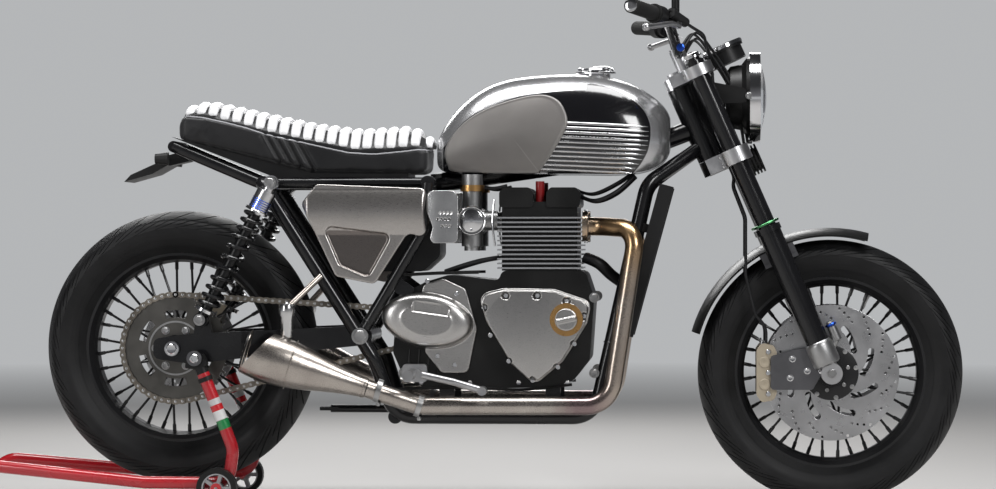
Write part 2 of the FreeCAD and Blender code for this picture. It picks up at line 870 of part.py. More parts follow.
def rear_disc():
    """The rear disc on straight arms, on the left of the hub."""
    near = rear_disc_offset - disc_thickness / 2
    far = near + disc_thickness
    start = rear_axle + axis_y * near
    end = rear_axle + axis_y * far
    pieces = [ring(start, end, rear_disc_radius, rear_disc_inner_radius), rod(start, end, disc_boss_radius)]
    for index in range(rear_disc_arm_count):
        out = around_y(2 * math.pi * index / rear_disc_arm_count)
        low = vec(0, -disc_arm_width / 2, -disc_thickness / 2)
        high = vec(rear_disc_inner_radius + disc_thickness, disc_arm_width / 2, disc_thickness / 2)
        middle = rear_axle + axis_y * rear_disc_offset
        pieces.append(leaning_box(low, high, middle, out, axis_y.cross(out), axis_y))
    bore = cross_rod(rear_axle, near - cut_overrun, far + cut_overrun, hub_core_radius + running_gap)
    return fused(pieces).cut(bore)


def front_caliper(side):
    """A caliper body astride the disc behind the fork, with round piston ends on its outer face."""
    middle = side * disc_offset
    behind = disc_radius + caliper_gap + caliper_depth / 4
    corner = vec(wheelbase - behind, 0, front_tyre_radius - caliper_length / 2)
    points = outline(corner, caliper_depth, caliper_length, caliper_shares)
    body = side_plate(points, middle - caliper_half_width, middle + caliper_half_width, caliper_bend)
    pieces = [body]
    face = middle - side * caliper_half_width
    for step in sides:
        place = vec(corner.x + caliper_depth / 2, 0, front_tyre_radius + step * piston_spacing / 2)
        pieces.append(cross_rod(place, face - side * piston_depth, middle, piston_radius))
    slot = disc_thickness / 2 + caliper_gap
    return fused(pieces).cut(cross_rod(front_axle, middle - slot, middle + slot, disc_radius + caliper_gap))


def rear_caliper():
    """The rear caliper over the disc and the plate that holds it to the swingarm."""
    out = around_y(rear_caliper_angle)
    up = axis_y.cross(out)
    centre = rear_axle + axis_y * rear_disc_offset + out * (rear_disc_radius - rear_caliper_depth / 4)
    half = vec(rear_caliper_depth / 2, caliper_half_width, rear_caliper_length / 2)
    body = leaning_box(vec(-half.x, -half.y, -half.z), half, centre, out, axis_y, up * -1)
    near = rear_disc_offset + caliper_half_width
    far = near + rear_caliper_bracket_thickness
    low = vec(0, near - rear_disc_offset, -rear_caliper_bracket_width / 2)
    high = vec(rear_disc_radius, far - rear_disc_offset, rear_caliper_bracket_width / 2)
    plate = leaning_box(low, high, rear_axle + axis_y * rear_disc_offset, out, axis_y, up * -1)
    slot = disc_thickness / 2 + caliper_gap
    swept = rear_disc_radius + caliper_gap
    cutter = cross_rod(rear_axle, rear_disc_offset - slot, rear_disc_offset + slot, swept)
    collar = cross_rod(rear_axle, near - cut_overrun, far + cut_overrun, collar_radius + running_gap)
    return largest(fused([body.cut(cutter), plate]).cut(collar))


# Sprocket and chain

def curved_slot(centre, middle, start_y, depth):
    """A slot with straight ends that follows an arc about the wheel's centre."""
    start = centre + axis_y * (start_y - cut_overrun)
    end = centre + axis_y * (start_y + depth + cut_overrun)
    half = sprocket_slot_width / 2
    band = ring(start, end, sprocket_slot_radius + half, sprocket_slot_radius - half)
    reach = sprocket_slot_radius * 2
    low = around_y(middle - sprocket_slot_sweep / 2) * reach
    high = around_y(middle + sprocket_slot_sweep / 2) * reach
    wire = Part.makePolygon([start, start + low, start + high, start])
    return band.common(Part.Face(wire).extrude(end - start))


def rear_sprocket():
    """The toothed ring with long slots, on a carrier that meets the hub."""
    near = -chain_line - sprocket_thickness / 2
    start = rear_axle + axis_y * near
    points = []
    for index in range(rear_teeth):
        for share, reach in ((1 - tooth_tip_share, tooth_height), (1 - tooth_root_share, -tooth_depth),
                             (1 + tooth_root_share, -tooth_depth), (1 + tooth_tip_share, tooth_height)):
            angle = 2 * math.pi * (index + share) / rear_teeth
            points.append(start + around_y(angle) * (chain_radius_rear + reach))
    plate = Part.Face(Part.makePolygon(points + [points[0]])).extrude(axis_y * sprocket_thickness)
    for index in range(sprocket_slot_count):
        middle = math.pi * (2 * index + 1) / sprocket_slot_count
        plate = plate.cut(curved_slot(rear_axle, middle, near, sprocket_thickness))
    inner = -hub_flange_offset - hub_flange_width
    carrier = cross_rod(rear_axle, near + sprocket_thickness, inner, carrier_radius)
    bore = cross_rod(rear_axle, near - cut_overrun, inner + cut_overrun, hub_core_radius + running_gap)
    return fused([plate, carrier]).cut(bore)


def belt_face(rear_radius, front_radius, across):
    """The outline of a loop round both sprockets as a face, and the angles where it leaves them."""
    base = rear_axle + axis_y * across
    tip = front_sprocket + axis_y * across
    gap = tip - base
    lean = math.atan2(gap.z, gap.x)
    spread = math.acos((rear_radius - front_radius) / gap.Length)
    top = lean + spread
    bottom = lean - spread
    edges = [
        Part.makeLine(base + around_y(top) * rear_radius, tip + around_y(top) * front_radius),
        Part.Arc(tip + around_y(top) * front_radius, tip + around_y(lean) * front_radius,
                 tip + around_y(bottom) * front_radius).toShape(),
        Part.makeLine(tip + around_y(bottom) * front_radius, base + around_y(bottom) * rear_radius),
        Part.Arc(base + around_y(bottom) * rear_radius, base - around_y(lean) * rear_radius,
                 base + around_y(top) * rear_radius).toShape(),
    ]
    return Part.Face(Part.Wire(edges)), top, bottom


def roller(place):
    """A roller between the chain's bands, seen from the side at a place."""
    length = 2 * chain_inner_half_gap + chain_band_thickness
    start = place - axis_y * (length / 2)
    points = []
    for index in range(chain_roller_faces):
        points.append(start + around_y(2 * math.pi * index / chain_roller_faces) * chain_roller_radius)
    return Part.Face(Part.makePolygon(points + [points[0]])).extrude(axis_y * length)


def chain_roller_places(top, bottom):
    """Where the rollers go: on the rear teeth, along both runs and round the front."""
    middle = axis_y * -chain_line
    step = 2 * math.pi / rear_teeth
    first = math.ceil(top / step)
    last = math.floor((bottom + 2 * math.pi) / step)
    places = []
    for index in range(first, last + 1):
        places.append(rear_axle + middle + around_y(index * step) * chain_radius_rear)
    for angle, edge_angle in ((top, first * step), (bottom, last * step - 2 * math.pi)):
        start = rear_axle + middle + around_y(angle) * chain_radius_rear
        end = front_sprocket + middle + around_y(angle) * chain_radius_front
        used = abs(edge_angle - angle) * chain_radius_rear
        run = (end - start).Length + used
        count = round(run / chain_pitch)
        along = (end - start).normalize()
        for index in range(1, count + 1):
            places.append(start + along * (index * run / count - used))
    wraps = round((top - bottom) * chain_radius_front / chain_pitch)
    for index in range(1, wraps):
        angle = bottom + (top - bottom) * index / wraps
        places.append(front_sprocket + middle + around_y(angle) * chain_radius_front)
    return places


def drive_chain():
    """Two bands with a roller at each pitch, wrapped about both sprockets."""
    half = chain_band_height / 2
    pieces = []
    far = -chain_line - chain_inner_half_gap - chain_band_thickness
    near = -chain_line + chain_inner_half_gap
    for start in (far, near):
        outer, top, bottom = belt_face(chain_radius_rear + half, chain_radius_front + half, start)
        inner = belt_face(chain_radius_rear - half, chain_radius_front - half, start)[0]
        pieces.append(outer.cut(inner).extrude(axis_y * chain_band_thickness))
    for place in chain_roller_places(top, bottom):
        pieces.append(roller(place))
    return pieces[0].multiFuse(pieces[1:])


# Fork, yokes and what they carry

def yokes():
    """Lower and top yoke clamped round both legs, the stem between them and its nut."""
    pieces = []
    for up, thick in ((lower_yoke_up, yoke_thickness), (top_yoke_up, top_yoke_thickness)):
        low = up - thick / 2
        high = up + thick / 2
        pieces.append(fork_box(vec(-fork_offset - yoke_bridge_depth / 2, -fork_spacing, low),
                               vec(yoke_bridge_depth / 2, fork_spacing, high)))
        for side in sides:
            place = side * fork_spacing
            pieces.append(rod(on_fork(low, 0, place), on_fork(high, 0, place), yoke_clamp_radius))
        pieces.append(rod(on_fork(low, -fork_offset), on_fork(high, -fork_offset), headstock_radius))
    top = top_yoke_up + top_yoke_thickness / 2
    pieces.append(rod(on_fork(lower_yoke_up, -fork_offset), on_fork(top_yoke_up, -fork_offset), stem_radius))
    nut_top = on_fork(top + stem_nut_height, -fork_offset)
    pieces.append(rod(on_fork(top, -fork_offset), nut_top, stem_nut_radius))
    whole = fused(pieces)
    for side in sides:
        place = side * fork_spacing
        whole = whole.cut(rod(on_fork(0, 0, place), on_fork(fork_top_up, 0, place), stanchion_radius))
    return whole


def fork_legs():
    """Stanchion, slider, seal and axle clamp of each leg, as one solid a side."""
    legs = []
    for side in sides:
        place = side * fork_spacing
        low = on_fork(slider_start_up, 0, place)
        high = on_fork(slider_end_up, 0, place)
        pieces = [rod(low, on_fork(fork_top_up, 0, place), stanchion_radius), rod(low, high, slider_radius)]
        pieces.append(rod(high, high + steering_up * seal_height, seal_radius))
        pieces.append(rod(on_fork(fork_top_up, 0, place), on_fork(fork_top_up + fork_cap_height, 0, place),
                          fork_cap_radius))
        near = place - axle_clamp_half_width
        far = place + axle_clamp_half_width
        pieces.append(cross_rod(front_axle, near, far, axle_clamp_radius))
        pieces.append(rod(on_fork(0, 0, place), low, slider_radius * slider_foot_share))
        bore = cross_rod(front_axle, near - cut_overrun, far + cut_overrun, axle_radius)
        legs.append(fused(pieces).cut(bore))
    return legs


def front_axle_bar():
    """The axle with a collar on each side between the hub and the fork clamp."""
    reach = fork_spacing + slider_radius
    pieces = [cross_rod(front_axle, -reach, reach, axle_radius)]
    for side in sides:
        pieces.append(cross_rod(front_axle, side * (front_hub_half_width + running_gap),
                                side * (fork_spacing - axle_clamp_half_width), collar_radius))
    return fused(pieces)


def front_fender():
    """A crowned strip that follows the tyre, turned about the front axle."""
    outer = fender_radius - fender_crown
    edges = [
        front_axle + axis_x * outer - axis_y * fender_half_width,
        front_axle + axis_x * outer + axis_y * fender_half_width,
        front_axle + axis_x * (outer - fender_thickness) + axis_y * fender_half_width,
        front_axle + axis_x * (outer - fender_thickness) - axis_y * fender_half_width,
    ]
    crown = front_axle + axis_x * fender_radius
    under = front_axle + axis_x * (fender_radius - fender_thickness)
    wire = Part.Wire([
        Part.Arc(edges[0], crown, edges[1]).toShape(), Part.makeLine(edges[1], edges[2]),
        Part.Arc(edges[2], under, edges[3]).toShape(), Part.makeLine(edges[3], edges[0]),
    ])
    section = Part.Face(wire)
    section.rotate(front_axle, axis_y, -fender_front_angle)
    return section.revolve(front_axle, axis_y, fender_front_angle - fender_rear_angle)


def fender_stay(side, fender):
    """The bracket from a slider in under the fender's edge."""
    inner = side * (fork_spacing - slider_radius - running_gap)
    edge = side * (fender_half_width - stay_web_thickness)
    shelf = fork_box(vec(-stay_half_length, min(inner, edge), stay_low_up),
                     vec(stay_half_length, max(inner, edge), stay_low_up + stay_shelf_thickness))
    web_low = min(edge, side * fender_half_width)
    web = fork_box(vec(-stay_half_length, web_low, stay_low_up),
                   vec(stay_half_length, web_low + stay_web_thickness, stay_low_up + stay_web_height))
    return largest(fused([shelf, web]).cut(fender))


def caliper_plate(side):
    """The plate that carries a caliper on its fork leg."""
    near = side * caliper_plate_corner.y
    far = side * (caliper_plate_corner.y + caliper_plate_thickness)
    points = outline(caliper_plate_corner, caliper_plate_length, caliper_plate_height, caliper_plate_shares)
    place = side * fork_spacing
    leg = rod(on_fork(0, 0, place), on_fork(slider_end_up, 0, place), slider_radius)
    clamp = cross_rod(front_axle, 0, side * (fork_spacing + slider_radius), axle_clamp_radius)
    return largest(side_plate(points, near, far, caliper_plate_bend).cut(leg).cut(clamp))


def fork_brackets():
    fender = front_fender()
    return [fender_stay(side, fender) for side in sides] + [caliper_plate(side) for side in sides]


def brake_hose(side):
    """A hose from under the lower yoke, down behind the fork leg, to the caliper's top."""
    start_up = lower_yoke_up - yoke_thickness / 2 - running_gap
    start = on_fork(start_up, hose_yoke_forward, side * hose_yoke_side)
    end_z = front_tyre_radius + caliper_length / 2 + running_gap
    end = vec(hose_places[-1].x, side * hose_caliper_side, end_z)
    lead = start - steering_up * hose_lead
    return pipe([start, lead] + [sided(place, side) for place in hose_places] + [end], hose_radius, hose_bend)


def upper_hose():
    """The hose from the master cylinder down in front of the top yoke to the lower one."""
    top = lower_yoke_up + yoke_thickness / 2 + running_gap
    outer, inner, under_cup = master_places()
    along = (inner - outer).normalize()
    points = [inner + along * running_gap, inner + along * hose_lead]
    points += [on_fork(top_yoke_up + rise, forward, -side) for rise, forward, side in upper_hose_places]
    points += [on_fork(top + upper_hose_rise, 0, -upper_hose_side), on_fork(top, 0, -upper_hose_side)]
    return pipe(points, hose_radius, hose_bend)


# Headlight, horn and speedometer

def headlight_bucket():
    steps = [(-back, radius) for back, radius in reversed(bucket_stations)]
    return stacked_circles(headlight_centre, axis_x, steps)


def headlight_ears():
    """The brackets that hold the bucket between the fork legs."""
    ears = []
    points = outline(ear_corner, ear_length, ear_height, ear_shares)
    for side in sides:
        plate = side_plate(points, side * ear_corner.y, side * (ear_corner.y + ear_thickness), ear_bend)
        place = side * fork_spacing
        leg = rod(on_fork(slider_end_up, 0, place), on_fork(fork_top_up, 0, place), stanchion_radius)
        ears.append(largest(plate.cut(leg).cut(headlight_bucket())))
    return ears


def headlight_rim():
    end = headlight_centre + axis_x * headlight_rim_depth
    return ring(headlight_centre, end, headlight_rim_radius, headlight_rim_radius - headlight_rim_wall)


def headlight_lens():
    """A glass with a straight edge and a shallow dome."""
    start = headlight_centre + axis_x * lens_start
    edge = start + axis_x * lens_edge
    ball_radius = (lens_radius ** 2 + lens_dome ** 2) / (2 * lens_dome)
    ball = Part.makeSphere(ball_radius, edge - axis_x * (ball_radius - lens_dome))
    dome = ball.common(rod(edge, edge + axis_x * (lens_dome * 2), lens_radius))
    return fused([rod(start, edge, lens_radius), dome])


def horn():
    """A ribbed disc in front of the lower yoke on its stalk."""
    start = on_fork(lower_yoke_up - horn_drop, yoke_bridge_depth / 2)
    centre = on_fork(lower_yoke_up - 2 * horn_drop, yoke_bridge_depth / 2 + horn_start)
    depth = horn_rib_pitch * (horn_ribs - 1) + horn_rib_thickness / 2
    pieces = [rod(start, start + steering_forward * depth, horn_stalk_radius)]
    for index in range(horn_ribs):
        low = centre + steering_forward * (index * horn_rib_pitch)
        pieces.append(rod(low, low + steering_forward * horn_rib_thickness, horn_disc_radius))
    pieces.append(rod(centre, centre + steering_forward * depth, horn_core_radius))
    return fused(pieces)


def speedometer():
    """A leaning round case with a bezel, on a stalk from the top yoke."""
    lean = vec(-math.sin(speedometer_lean), 0, math.cos(speedometer_lean))
    top = on_fork(top_yoke_up + speedometer_rise, speedometer_forward)
    bezel_low = top - lean * speedometer_bezel_height
    pieces = [rod(top - lean * speedometer_depth, bezel_low, speedometer_radius - speedometer_bezel)]
    pieces.append(rod(bezel_low, top, speedometer_radius))
    stalk_end = on_fork(top_yoke_up, speedometer_stalk_reach)
    pieces.append(rod(on_fork(top_yoke_up, yoke_bridge_depth / 2), stalk_end, speedometer_stalk_radius))
    return fused(pieces)


# Handlebar and what is clamped on it

def handlebar_points(side):
    """The bar from its middle over the top yoke out to the grip's end on one side."""
    middle = on_fork(top_yoke_up + top_yoke_thickness / 2 + riser_height, riser_forward)
    return [middle, middle + axis_y * (side * bar_straight_half), middle + sided(bar_shoulder, side),
            middle + sided(bar_end, side)]


def bar_tip(side):
    return handlebar_points(side)[-1]


def along_grip(side):
    shoulder, tip = handlebar_points(side)[2:]
    return (tip - shoulder).normalize()


def handlebar():
    """One bent tube with both ends open."""
    right = handlebar_points(-1)
    left = handlebar_points(1)
    bar = pipe(list(reversed(right)) + left[1:], handlebar_radius, handlebar_bend)
    for side in sides:
        along = along_grip(side)
        end = bar_tip(side)
        bar = bar.cut(rod(end - along * bar_bore_depth, end + along * cut_overrun, bar_bore_radius))
    return bar


def grips():
    pieces = []
    for side in sides:
        along = along_grip(side)
        end = bar_tip(side)
        start = end - along * grip_length
        sleeve = fused([rod(start, end, grip_radius), rod(start, start + along * grip_flange_width,
                                                          grip_flange_radius)])
        pieces.append(sleeve.cut(rod(start, end, handlebar_radius)))
    return pieces


def bar_clamps():
    """The risers on the top yoke, bored for the bar."""
    pieces = []
    top = top_yoke_up + top_yoke_thickness / 2
    for side in sides:
        low = on_fork(top, riser_forward, side * riser_spacing)
        block = rod(low, low + steering_up * (riser_height + handlebar_radius + riser_cap), riser_radius)
        middle = handlebar_points(side)[0]
        pieces.append(block.cut(cross_rod(middle, 0, side * riser_spacing * 2, handlebar_radius)))
    return pieces


def housing_start(side):
    return bar_tip(side) - along_grip(side) * (grip_length + running_gap)


def perch_middle(side):
    return housing_start(side) - along_grip(side) * (housing_length + perch_gap + perch_length / 2)


def bar_controls():
    """The switch housing and the lever perch clamped on the bar inside each grip."""
    pieces = []
    for side in sides:
        along = along_grip(side)
        start = housing_start(side)
        pieces.append(ring(start - along * housing_length, start, housing_radius, handlebar_radius))
        middle = perch_middle(side)
        half = along * (perch_length / 2)
        perch = [rod(middle - half, middle + half, perch_radius)]
        perch.append(rod(middle, middle + lever_away * perch_reach, perch_lug_radius))
        if side < 0:
            perch += master_cylinder()
        bar = rod(middle - half * 2, middle + half * 2, handlebar_radius)
        pieces.append(fused(perch).cut(bar))
    return pieces


def levers():
    """A long bent blade with a ball end in front of each grip."""
    pieces = []
    for side in sides:
        along = along_grip(side)
        pivot_place = perch_middle(side) + lever_away * (perch_reach + lever_radius + lever_gap)
        knee = pivot_place + along * lever_knee.y + vec(lever_knee.x, 0, lever_knee.z)
        tip = bar_tip(side) - along * lever_tip.y + vec(lever_tip.x, 0, lever_tip.z)
        blade = pipe([pivot_place, knee, tip], lever_radius, lever_bend)
        pieces.append(fused([blade, Part.makeSphere(lever_ball_radius, tip)]))
    return pieces


def master_places():
    """The master cylinder's outer end, its inner end and the place under the cup."""
    base = perch_middle(-1) + along_grip(-1) * perch_length
    outer = base + master_start
    return outer, outer - along_grip(-1) * master_length + master_turn, base + master_arm_end


def master_cylinder():
    """The brake cylinder beside the right perch with the stalk of its fluid cup."""
    outer, inner, under_cup = master_places()
    body = rod(outer, inner, master_radius)
    arm = rod(outer, under_cup, master_arm_radius)
    foot = under_cup - axis_z * master_arm_end.z
    stalk = rod(foot, foot + axis_z * cup_stalk_height, cup_stalk_radius)
    return [body, arm, stalk]


def fluid_cup():
    start = master_places()[2] + axis_z * (cup_stalk_height - master_arm_end.z + running_gap)
    lid = start + axis_z * (cup_height - cup_lid_height)
    top = start + axis_z * cup_height
    return fused([rod(start, lid, cup_radius - running_gap), rod(lid, top, cup_radius)])


# Main frame

def headstock():
    low = lower_yoke_up + yoke_thickness / 2 + headstock_gap
    high = top_yoke_up - top_yoke_thickness / 2 - headstock_gap
    return rod(on_fork(low, -fork_offset), on_fork(high, -fork_offset), headstock_radius)


def frame_side(side):
    """One side's tubes: downtube with cradle and rear tube, second tube, seat rail and lugs."""
    head = on_fork(lower_yoke_up + downtube_head_drop, downtube_inset - fork_offset - headstock_radius,
                   side * downtube_head_side)
    knees = (downtube_shoulder, downtube_foot, cradle_front, cradle_rear, rear_tube_foot)
    main = [head] + [sided(place, side) for place in knees]
    main.append(vec(rear_tube_top_x, side * rear_tube_y, rail_z))
    main.append(vec(rear_tube_top_x, side * rail_inner_y, rail_z))
    second_top = vec(backbone_end_x, side * rear_tube_y, rail_z)
    pieces = [pipe(main, frame_radius, frame_bend)]
    pieces.append(rod(vec(backbone_end_x, 0, rail_z), second_top, frame_radius))
    second = [second_top, sided(second_tube_knee, side), sided(second_tube_foot, side)]
    pieces.append(pipe(second, rail_radius, frame_bend))
    points = outline(lug_corner, lug_length, lug_height, lug_shares)
    lug_far = side * (case_half_width + lug_thickness)
    pieces.append(side_plate(points, side * case_half_width, lug_far, lug_bend))
    rail = [vec(backbone_end_x, side * rail_side, rail_z), vec(rail_rear_x, side * rail_side, rail_z)]
    pieces.append(pipe(rail + [sided(loop_place, side)], rail_radius, frame_bend))
    plate_inner = side * (cradle_rear.y - engine_plate_thickness)
    for x in engine_plate_x:
        low = vec(x, min(side * cradle_rear.y, plate_inner), cradle_rear.z)
        height = case_corner.z + case_height / 2 - low.z
        pieces.append(Part.makeBox(engine_plate_length, engine_plate_thickness, height, low))
    shock_end = side * (shock_y + shock_stud_overhang)
    pieces.append(cross_rod(shock_top, side * rail_inner_y, shock_end, shock_stud_radius))
    return pieces


def backbone_path():
    """The backbone's middle line from the headstock to the cross tube over the swingarm."""
    head = on_fork(top_yoke_up - backbone_head_drop, backbone_inset - fork_offset - headstock_radius)
    return [head, backbone_knee, vec(backbone_end_x, 0, rail_z)]


def main_frame(crankcase_solid):
    """Headstock, backbone, both sides' tubes, the cross tubes and the pivot bolt."""
    pieces = [pipe(backbone_path(), backbone_radius, backbone_bend)]
    pieces.append(headstock())
    for side in sides:
        pieces += frame_side(side)
    stand_pivot = side_stand_pivot
    pieces.append(cross_rod(loop_place, -loop_place.y, loop_place.y, rail_radius))
    pieces.append(cross_rod(stand_pivot, cradle_rear.y, side_stand_boss_end, side_stand_boss_radius))
    pieces.append(cross_rod(stand_pivot, cradle_rear.y, side_stand_pin_end, side_stand_pin_radius))
    pieces.append(cross_rod(cradle_rear, -cradle_rear.y, cradle_rear.y, frame_radius))
    reach = rear_tube_y + pivot_overhang
    pieces.append(cross_rod(pivot, -reach, reach, pivot_radius))
    whole = pieces[0].multiFuse(pieces[1:])
    bore_top = on_fork(top_yoke_up, -fork_offset)
    bore = rod(on_fork(lower_yoke_up, -fork_offset), bore_top, stem_radius + running_gap)
    return whole.cut(bore).cut(crankcase_solid)


# Swingarm, rear axle and rear shocks

def swingarm_side(side):
    """One arm with its axle plate, shock tower and bobbin boss."""
    z = rear_axle_height
    points = [
        (-swingarm_end, z - swingarm_end_half_height), (-swingarm_end, z + swingarm_end_half_height),
        (swingarm_knee_x, z + swingarm_knee_half_height), (pivot.x, pivot.z + swingarm_end_half_height),
        (pivot.x + swingarm_nose, pivot.z), (pivot.x, pivot.z - swingarm_end_half_height),
        (swingarm_knee_x, z - swingarm_knee_half_height),
    ]
    wide = swingarm_y + swingarm_half_width
    slab = side_plate(points, 0, side * wide, swingarm_bend)
    start = pivot.x - swingarm_taper_end_back
    plan = [
        vec(-swingarm_rear_reach, side * (swingarm_y - swingarm_half_width), 0),
        vec(swingarm_taper_start, side * (swingarm_y - swingarm_half_width), 0),
        vec(start, side * (swingarm_pivot_y - swingarm_half_width), 0),
        vec(pivot.x + swingarm_front_reach, side * (swingarm_pivot_y - swingarm_half_width), 0),
        vec(pivot.x + swingarm_front_reach, side * (swingarm_pivot_y + swingarm_half_width), 0),
        vec(start + swingarm_taper_shift, side * (swingarm_pivot_y + swingarm_half_width), 0),
        vec(swingarm_taper_start + swingarm_taper_shift, side * wide, 0),
        vec(-swingarm_rear_reach, side * wide, 0),
    ]
    column = Part.Face(Part.makePolygon(plan + [plan[0]])).extrude(axis_z * (2 * rear_axle_height))
    x = shock_bottom.x
    tower = [
        (x - shock_tower_half_base, shock_tower_base_z), (x + shock_tower_half_base, shock_tower_base_z),
        (x + shock_tower_half_top, shock_tower_top_z), (x - shock_tower_half_top, shock_tower_top_z),
    ]
    inner = side * (swingarm_y - swingarm_half_width)
    boss_end = side * (swingarm_y + bobbin_boss_length)
    return [
        slab.common(column),
        side_plate(tower, inner, side * wide, shock_tower_bend),
        cross_rod(shock_bottom, side * swingarm_y, side * (shock_y + shock_stud_overhang), shock_stud_radius),
        cross_rod(bobbin_place, side * swingarm_y, boss_end, bobbin_boss_radius),
    ]


def swingarm():
    """Two arms that spread from a cross tube at the pivot to plates that hold the rear axle."""
    reach = swingarm_pivot_y + swingarm_half_width
    pieces = [cross_rod(pivot, -reach, reach, swingarm_tube_radius)]
    cross = vec(pivot.x - swingarm_cross_back, 0, pivot.z - swingarm_cross_drop)
    pieces.append(cross_rod(cross, -swingarm_pivot_y, swingarm_pivot_y, swingarm_cross_radius))
    for side in sides:
        pieces += swingarm_side(side)
    whole = pieces[0].multiFuse(pieces[1:])
    wide = 2 * swingarm_y
    whole = whole.cut(cross_rod(rear_axle, -wide, wide, axle_radius))
    return whole.cut(cross_rod(pivot, -wide, wide, pivot_radius))


def rear_axle_bar():
    """The axle with its collars and end nuts, and the two bobbins the stand lifts by."""
    outer = swingarm_y + swingarm_half_width
    reach = outer + axle_overhang
    pieces = [cross_rod(rear_axle, -reach, reach, axle_radius)]
    bobbins = []
    for side in sides:
        pieces.append(cross_rod(rear_axle, side * outer, side * (outer + nut_height), nut_radius))
        pieces.append(cross_rod(rear_axle, side * (rear_hub_half_width + running_gap),
                                side * (swingarm_y - swingarm_half_width), collar_radius))
        start = side * (swingarm_y + bobbin_boss_length)
        end = side * (stand_half_width + bobbin_end)
        head = side * (stand_half_width + bobbin_end - bobbin_head_length)
        bobbins.append(fused([cross_rod(bobbin_place, start, end, bobbin_radius),
                              cross_rod(bobbin_place, head, end, bobbin_head_radius)]))
    return [fused(pieces)] + bobbins


def shock_along():
    return (shock_top - shock_bottom).normalize()


def shock_body(side):
    """Both eyes, the rod, the can under the upper eye and the spring's lower cup."""
    base = axis_y * (side * shock_y)
    along = shock_along()
    top = shock_top + base
    bottom = shock_bottom + base
    near = side * (shock_y - shock_eye_half_width)
    far = side * (shock_y + shock_eye_half_width)
    pieces = [cross_rod(place, near, far, shock_eye_radius) for place in (shock_top, shock_bottom)]
    pieces.append(rod(bottom, top, shock_rod_radius))
    pieces.append(rod(top - along * shock_can_end, top - along * shock_can_start, shock_can_radius))
    pieces.append(rod(bottom + along * shock_cup_start, bottom + along * shock_cup_end, shock_cup_radius))
    whole = fused(pieces)
    bore = shock_stud_radius + running_gap
    reach = side * shock_eye_half_width
    for place in (shock_top, shock_bottom):
        whole = whole.cut(cross_rod(place, near - reach, far + reach, bore))
    return whole


def shock_spring(side):
    """The spring's turns as round ribs on a sleeve."""
    base = axis_y * (side * shock_y)
    along = shock_along()
    start = shock_bottom + base + along * shock_cup_end
    end = shock_top + base - along * shock_can_end
    pitch = (end - start).Length / spring_turns
    pieces = [rod(start, end, spring_sleeve_radius)]
    for index in range(spring_turns):
        low = start + along * (pitch * (index + (1 - spring_coil_share) / 2))
        pieces.append(rod(low, low + along * (pitch * spring_coil_share), spring_radius))
    return fused(pieces).cut(rod(start, end, shock_rod_radius + running_gap))


# Engine

def crankcase():
    """The block with a pocket for the front of the chain."""
    points = outline(case_corner, case_length, case_height, case_shares)
    whole = side_plate(points, -case_half_width, case_half_width, case_bend)
    reach = chain_band_height / 2 + chain_clearance
    half = chain_inner_half_gap + chain_band_thickness + chain_side_clearance
    pocket = belt_face(chain_radius_rear + reach, chain_radius_front + reach, -chain_line - half)[0]
    return whole.cut(pocket.extrude(axis_y * (2 * half)))


def barrel_corner():
    """The rear, right, lower corner of the cylinder block, on the crankcase's top."""
    return vec(engine.x - barrel_back, -barrel_half_width, case_corner.z + case_height)


def barrel():
    """The cylinder block with its stack of thin cooling fins."""
    corner = barrel_corner()
    pieces = [Part.makeBox(barrel_length, 2 * barrel_half_width, fin_count * fin_pitch, corner)]
    fin_length = barrel_length + 2 * fin_reach
    fin_width = 2 * (barrel_half_width + fin_reach)
    for index in range(fin_count):
        level = fin_pitch * (index + fin_level_share)
        place = corner + vec(-fin_reach, -fin_reach, level)
        pieces.append(Part.makeBox(fin_length, fin_width, fin_thickness, place))
    return pieces[0].multiFuse(pieces[1:])


def cylinder_head():
    """A block with a rounded cam bump across its front and its rear."""
    low = barrel_corner() + axis_z * (fin_count * fin_pitch)
    pieces = [Part.makeBox(barrel_length, 2 * barrel_half_width, head_height * head_block_share, low)]
    reach = barrel_half_width + cam_bump_reach
    base = low + axis_z * (head_height * cam_bump_low_share)
    for start in (-cam_bump_reach, barrel_length + cam_bump_reach - cam_bump_length):
        points = outline(base + axis_x * start, cam_bump_length, head_height * (1 - cam_bump_low_share),
                         cam_bump_shares)
        pieces.append(side_plate(points, -reach, reach, cam_bump_bend))
    return pieces[0].multiFuse(pieces[1:])


def plug_caps():
    low = barrel_corner().z + fin_count * fin_pitch + head_height * head_block_share
    caps = []
    for side in sides:
        place = vec(engine.x + plug_forward, side * plug_side, low)
        caps.append(rod(place, place + axis_z * plug_height, plug_radius))
    return caps


def clutch_cover():
    """The three-cornered cover on its rim, with the filler's slotted cap."""
    centre = engine + axis_x * cover_forward
    rim_points = outline(centre, cover_half_length * cover_rim_share, cover_half_height * cover_rim_share,
                         cover_shares)
    points = outline(centre, cover_half_length, cover_half_height, cover_shares)
    rim_far = -case_half_width - cover_rim_depth
    face = -case_half_width - cover_depth
    cap_far = face - filler_cap_height
    pieces = [side_plate(rim_points, -case_half_width, rim_far, cover_bend)]
    pieces.append(side_plate(points, -case_half_width, face, cover_bend))
    pieces.append(cross_rod(filler_place, face, cap_far, filler_cap_radius))
    half = filler_bar_width / 2
    bar = Part.makeBox(filler_bar_length, filler_bar_height, filler_bar_width,
                       vec(-filler_bar_length / 2, cap_far - filler_bar_height, -half))
    bar.rotate(vec(0, 0, 0), axis_y, -filler_bar_lean)
    bar.translate(filler_place)
    pieces.append(bar)
    return fused(pieces)


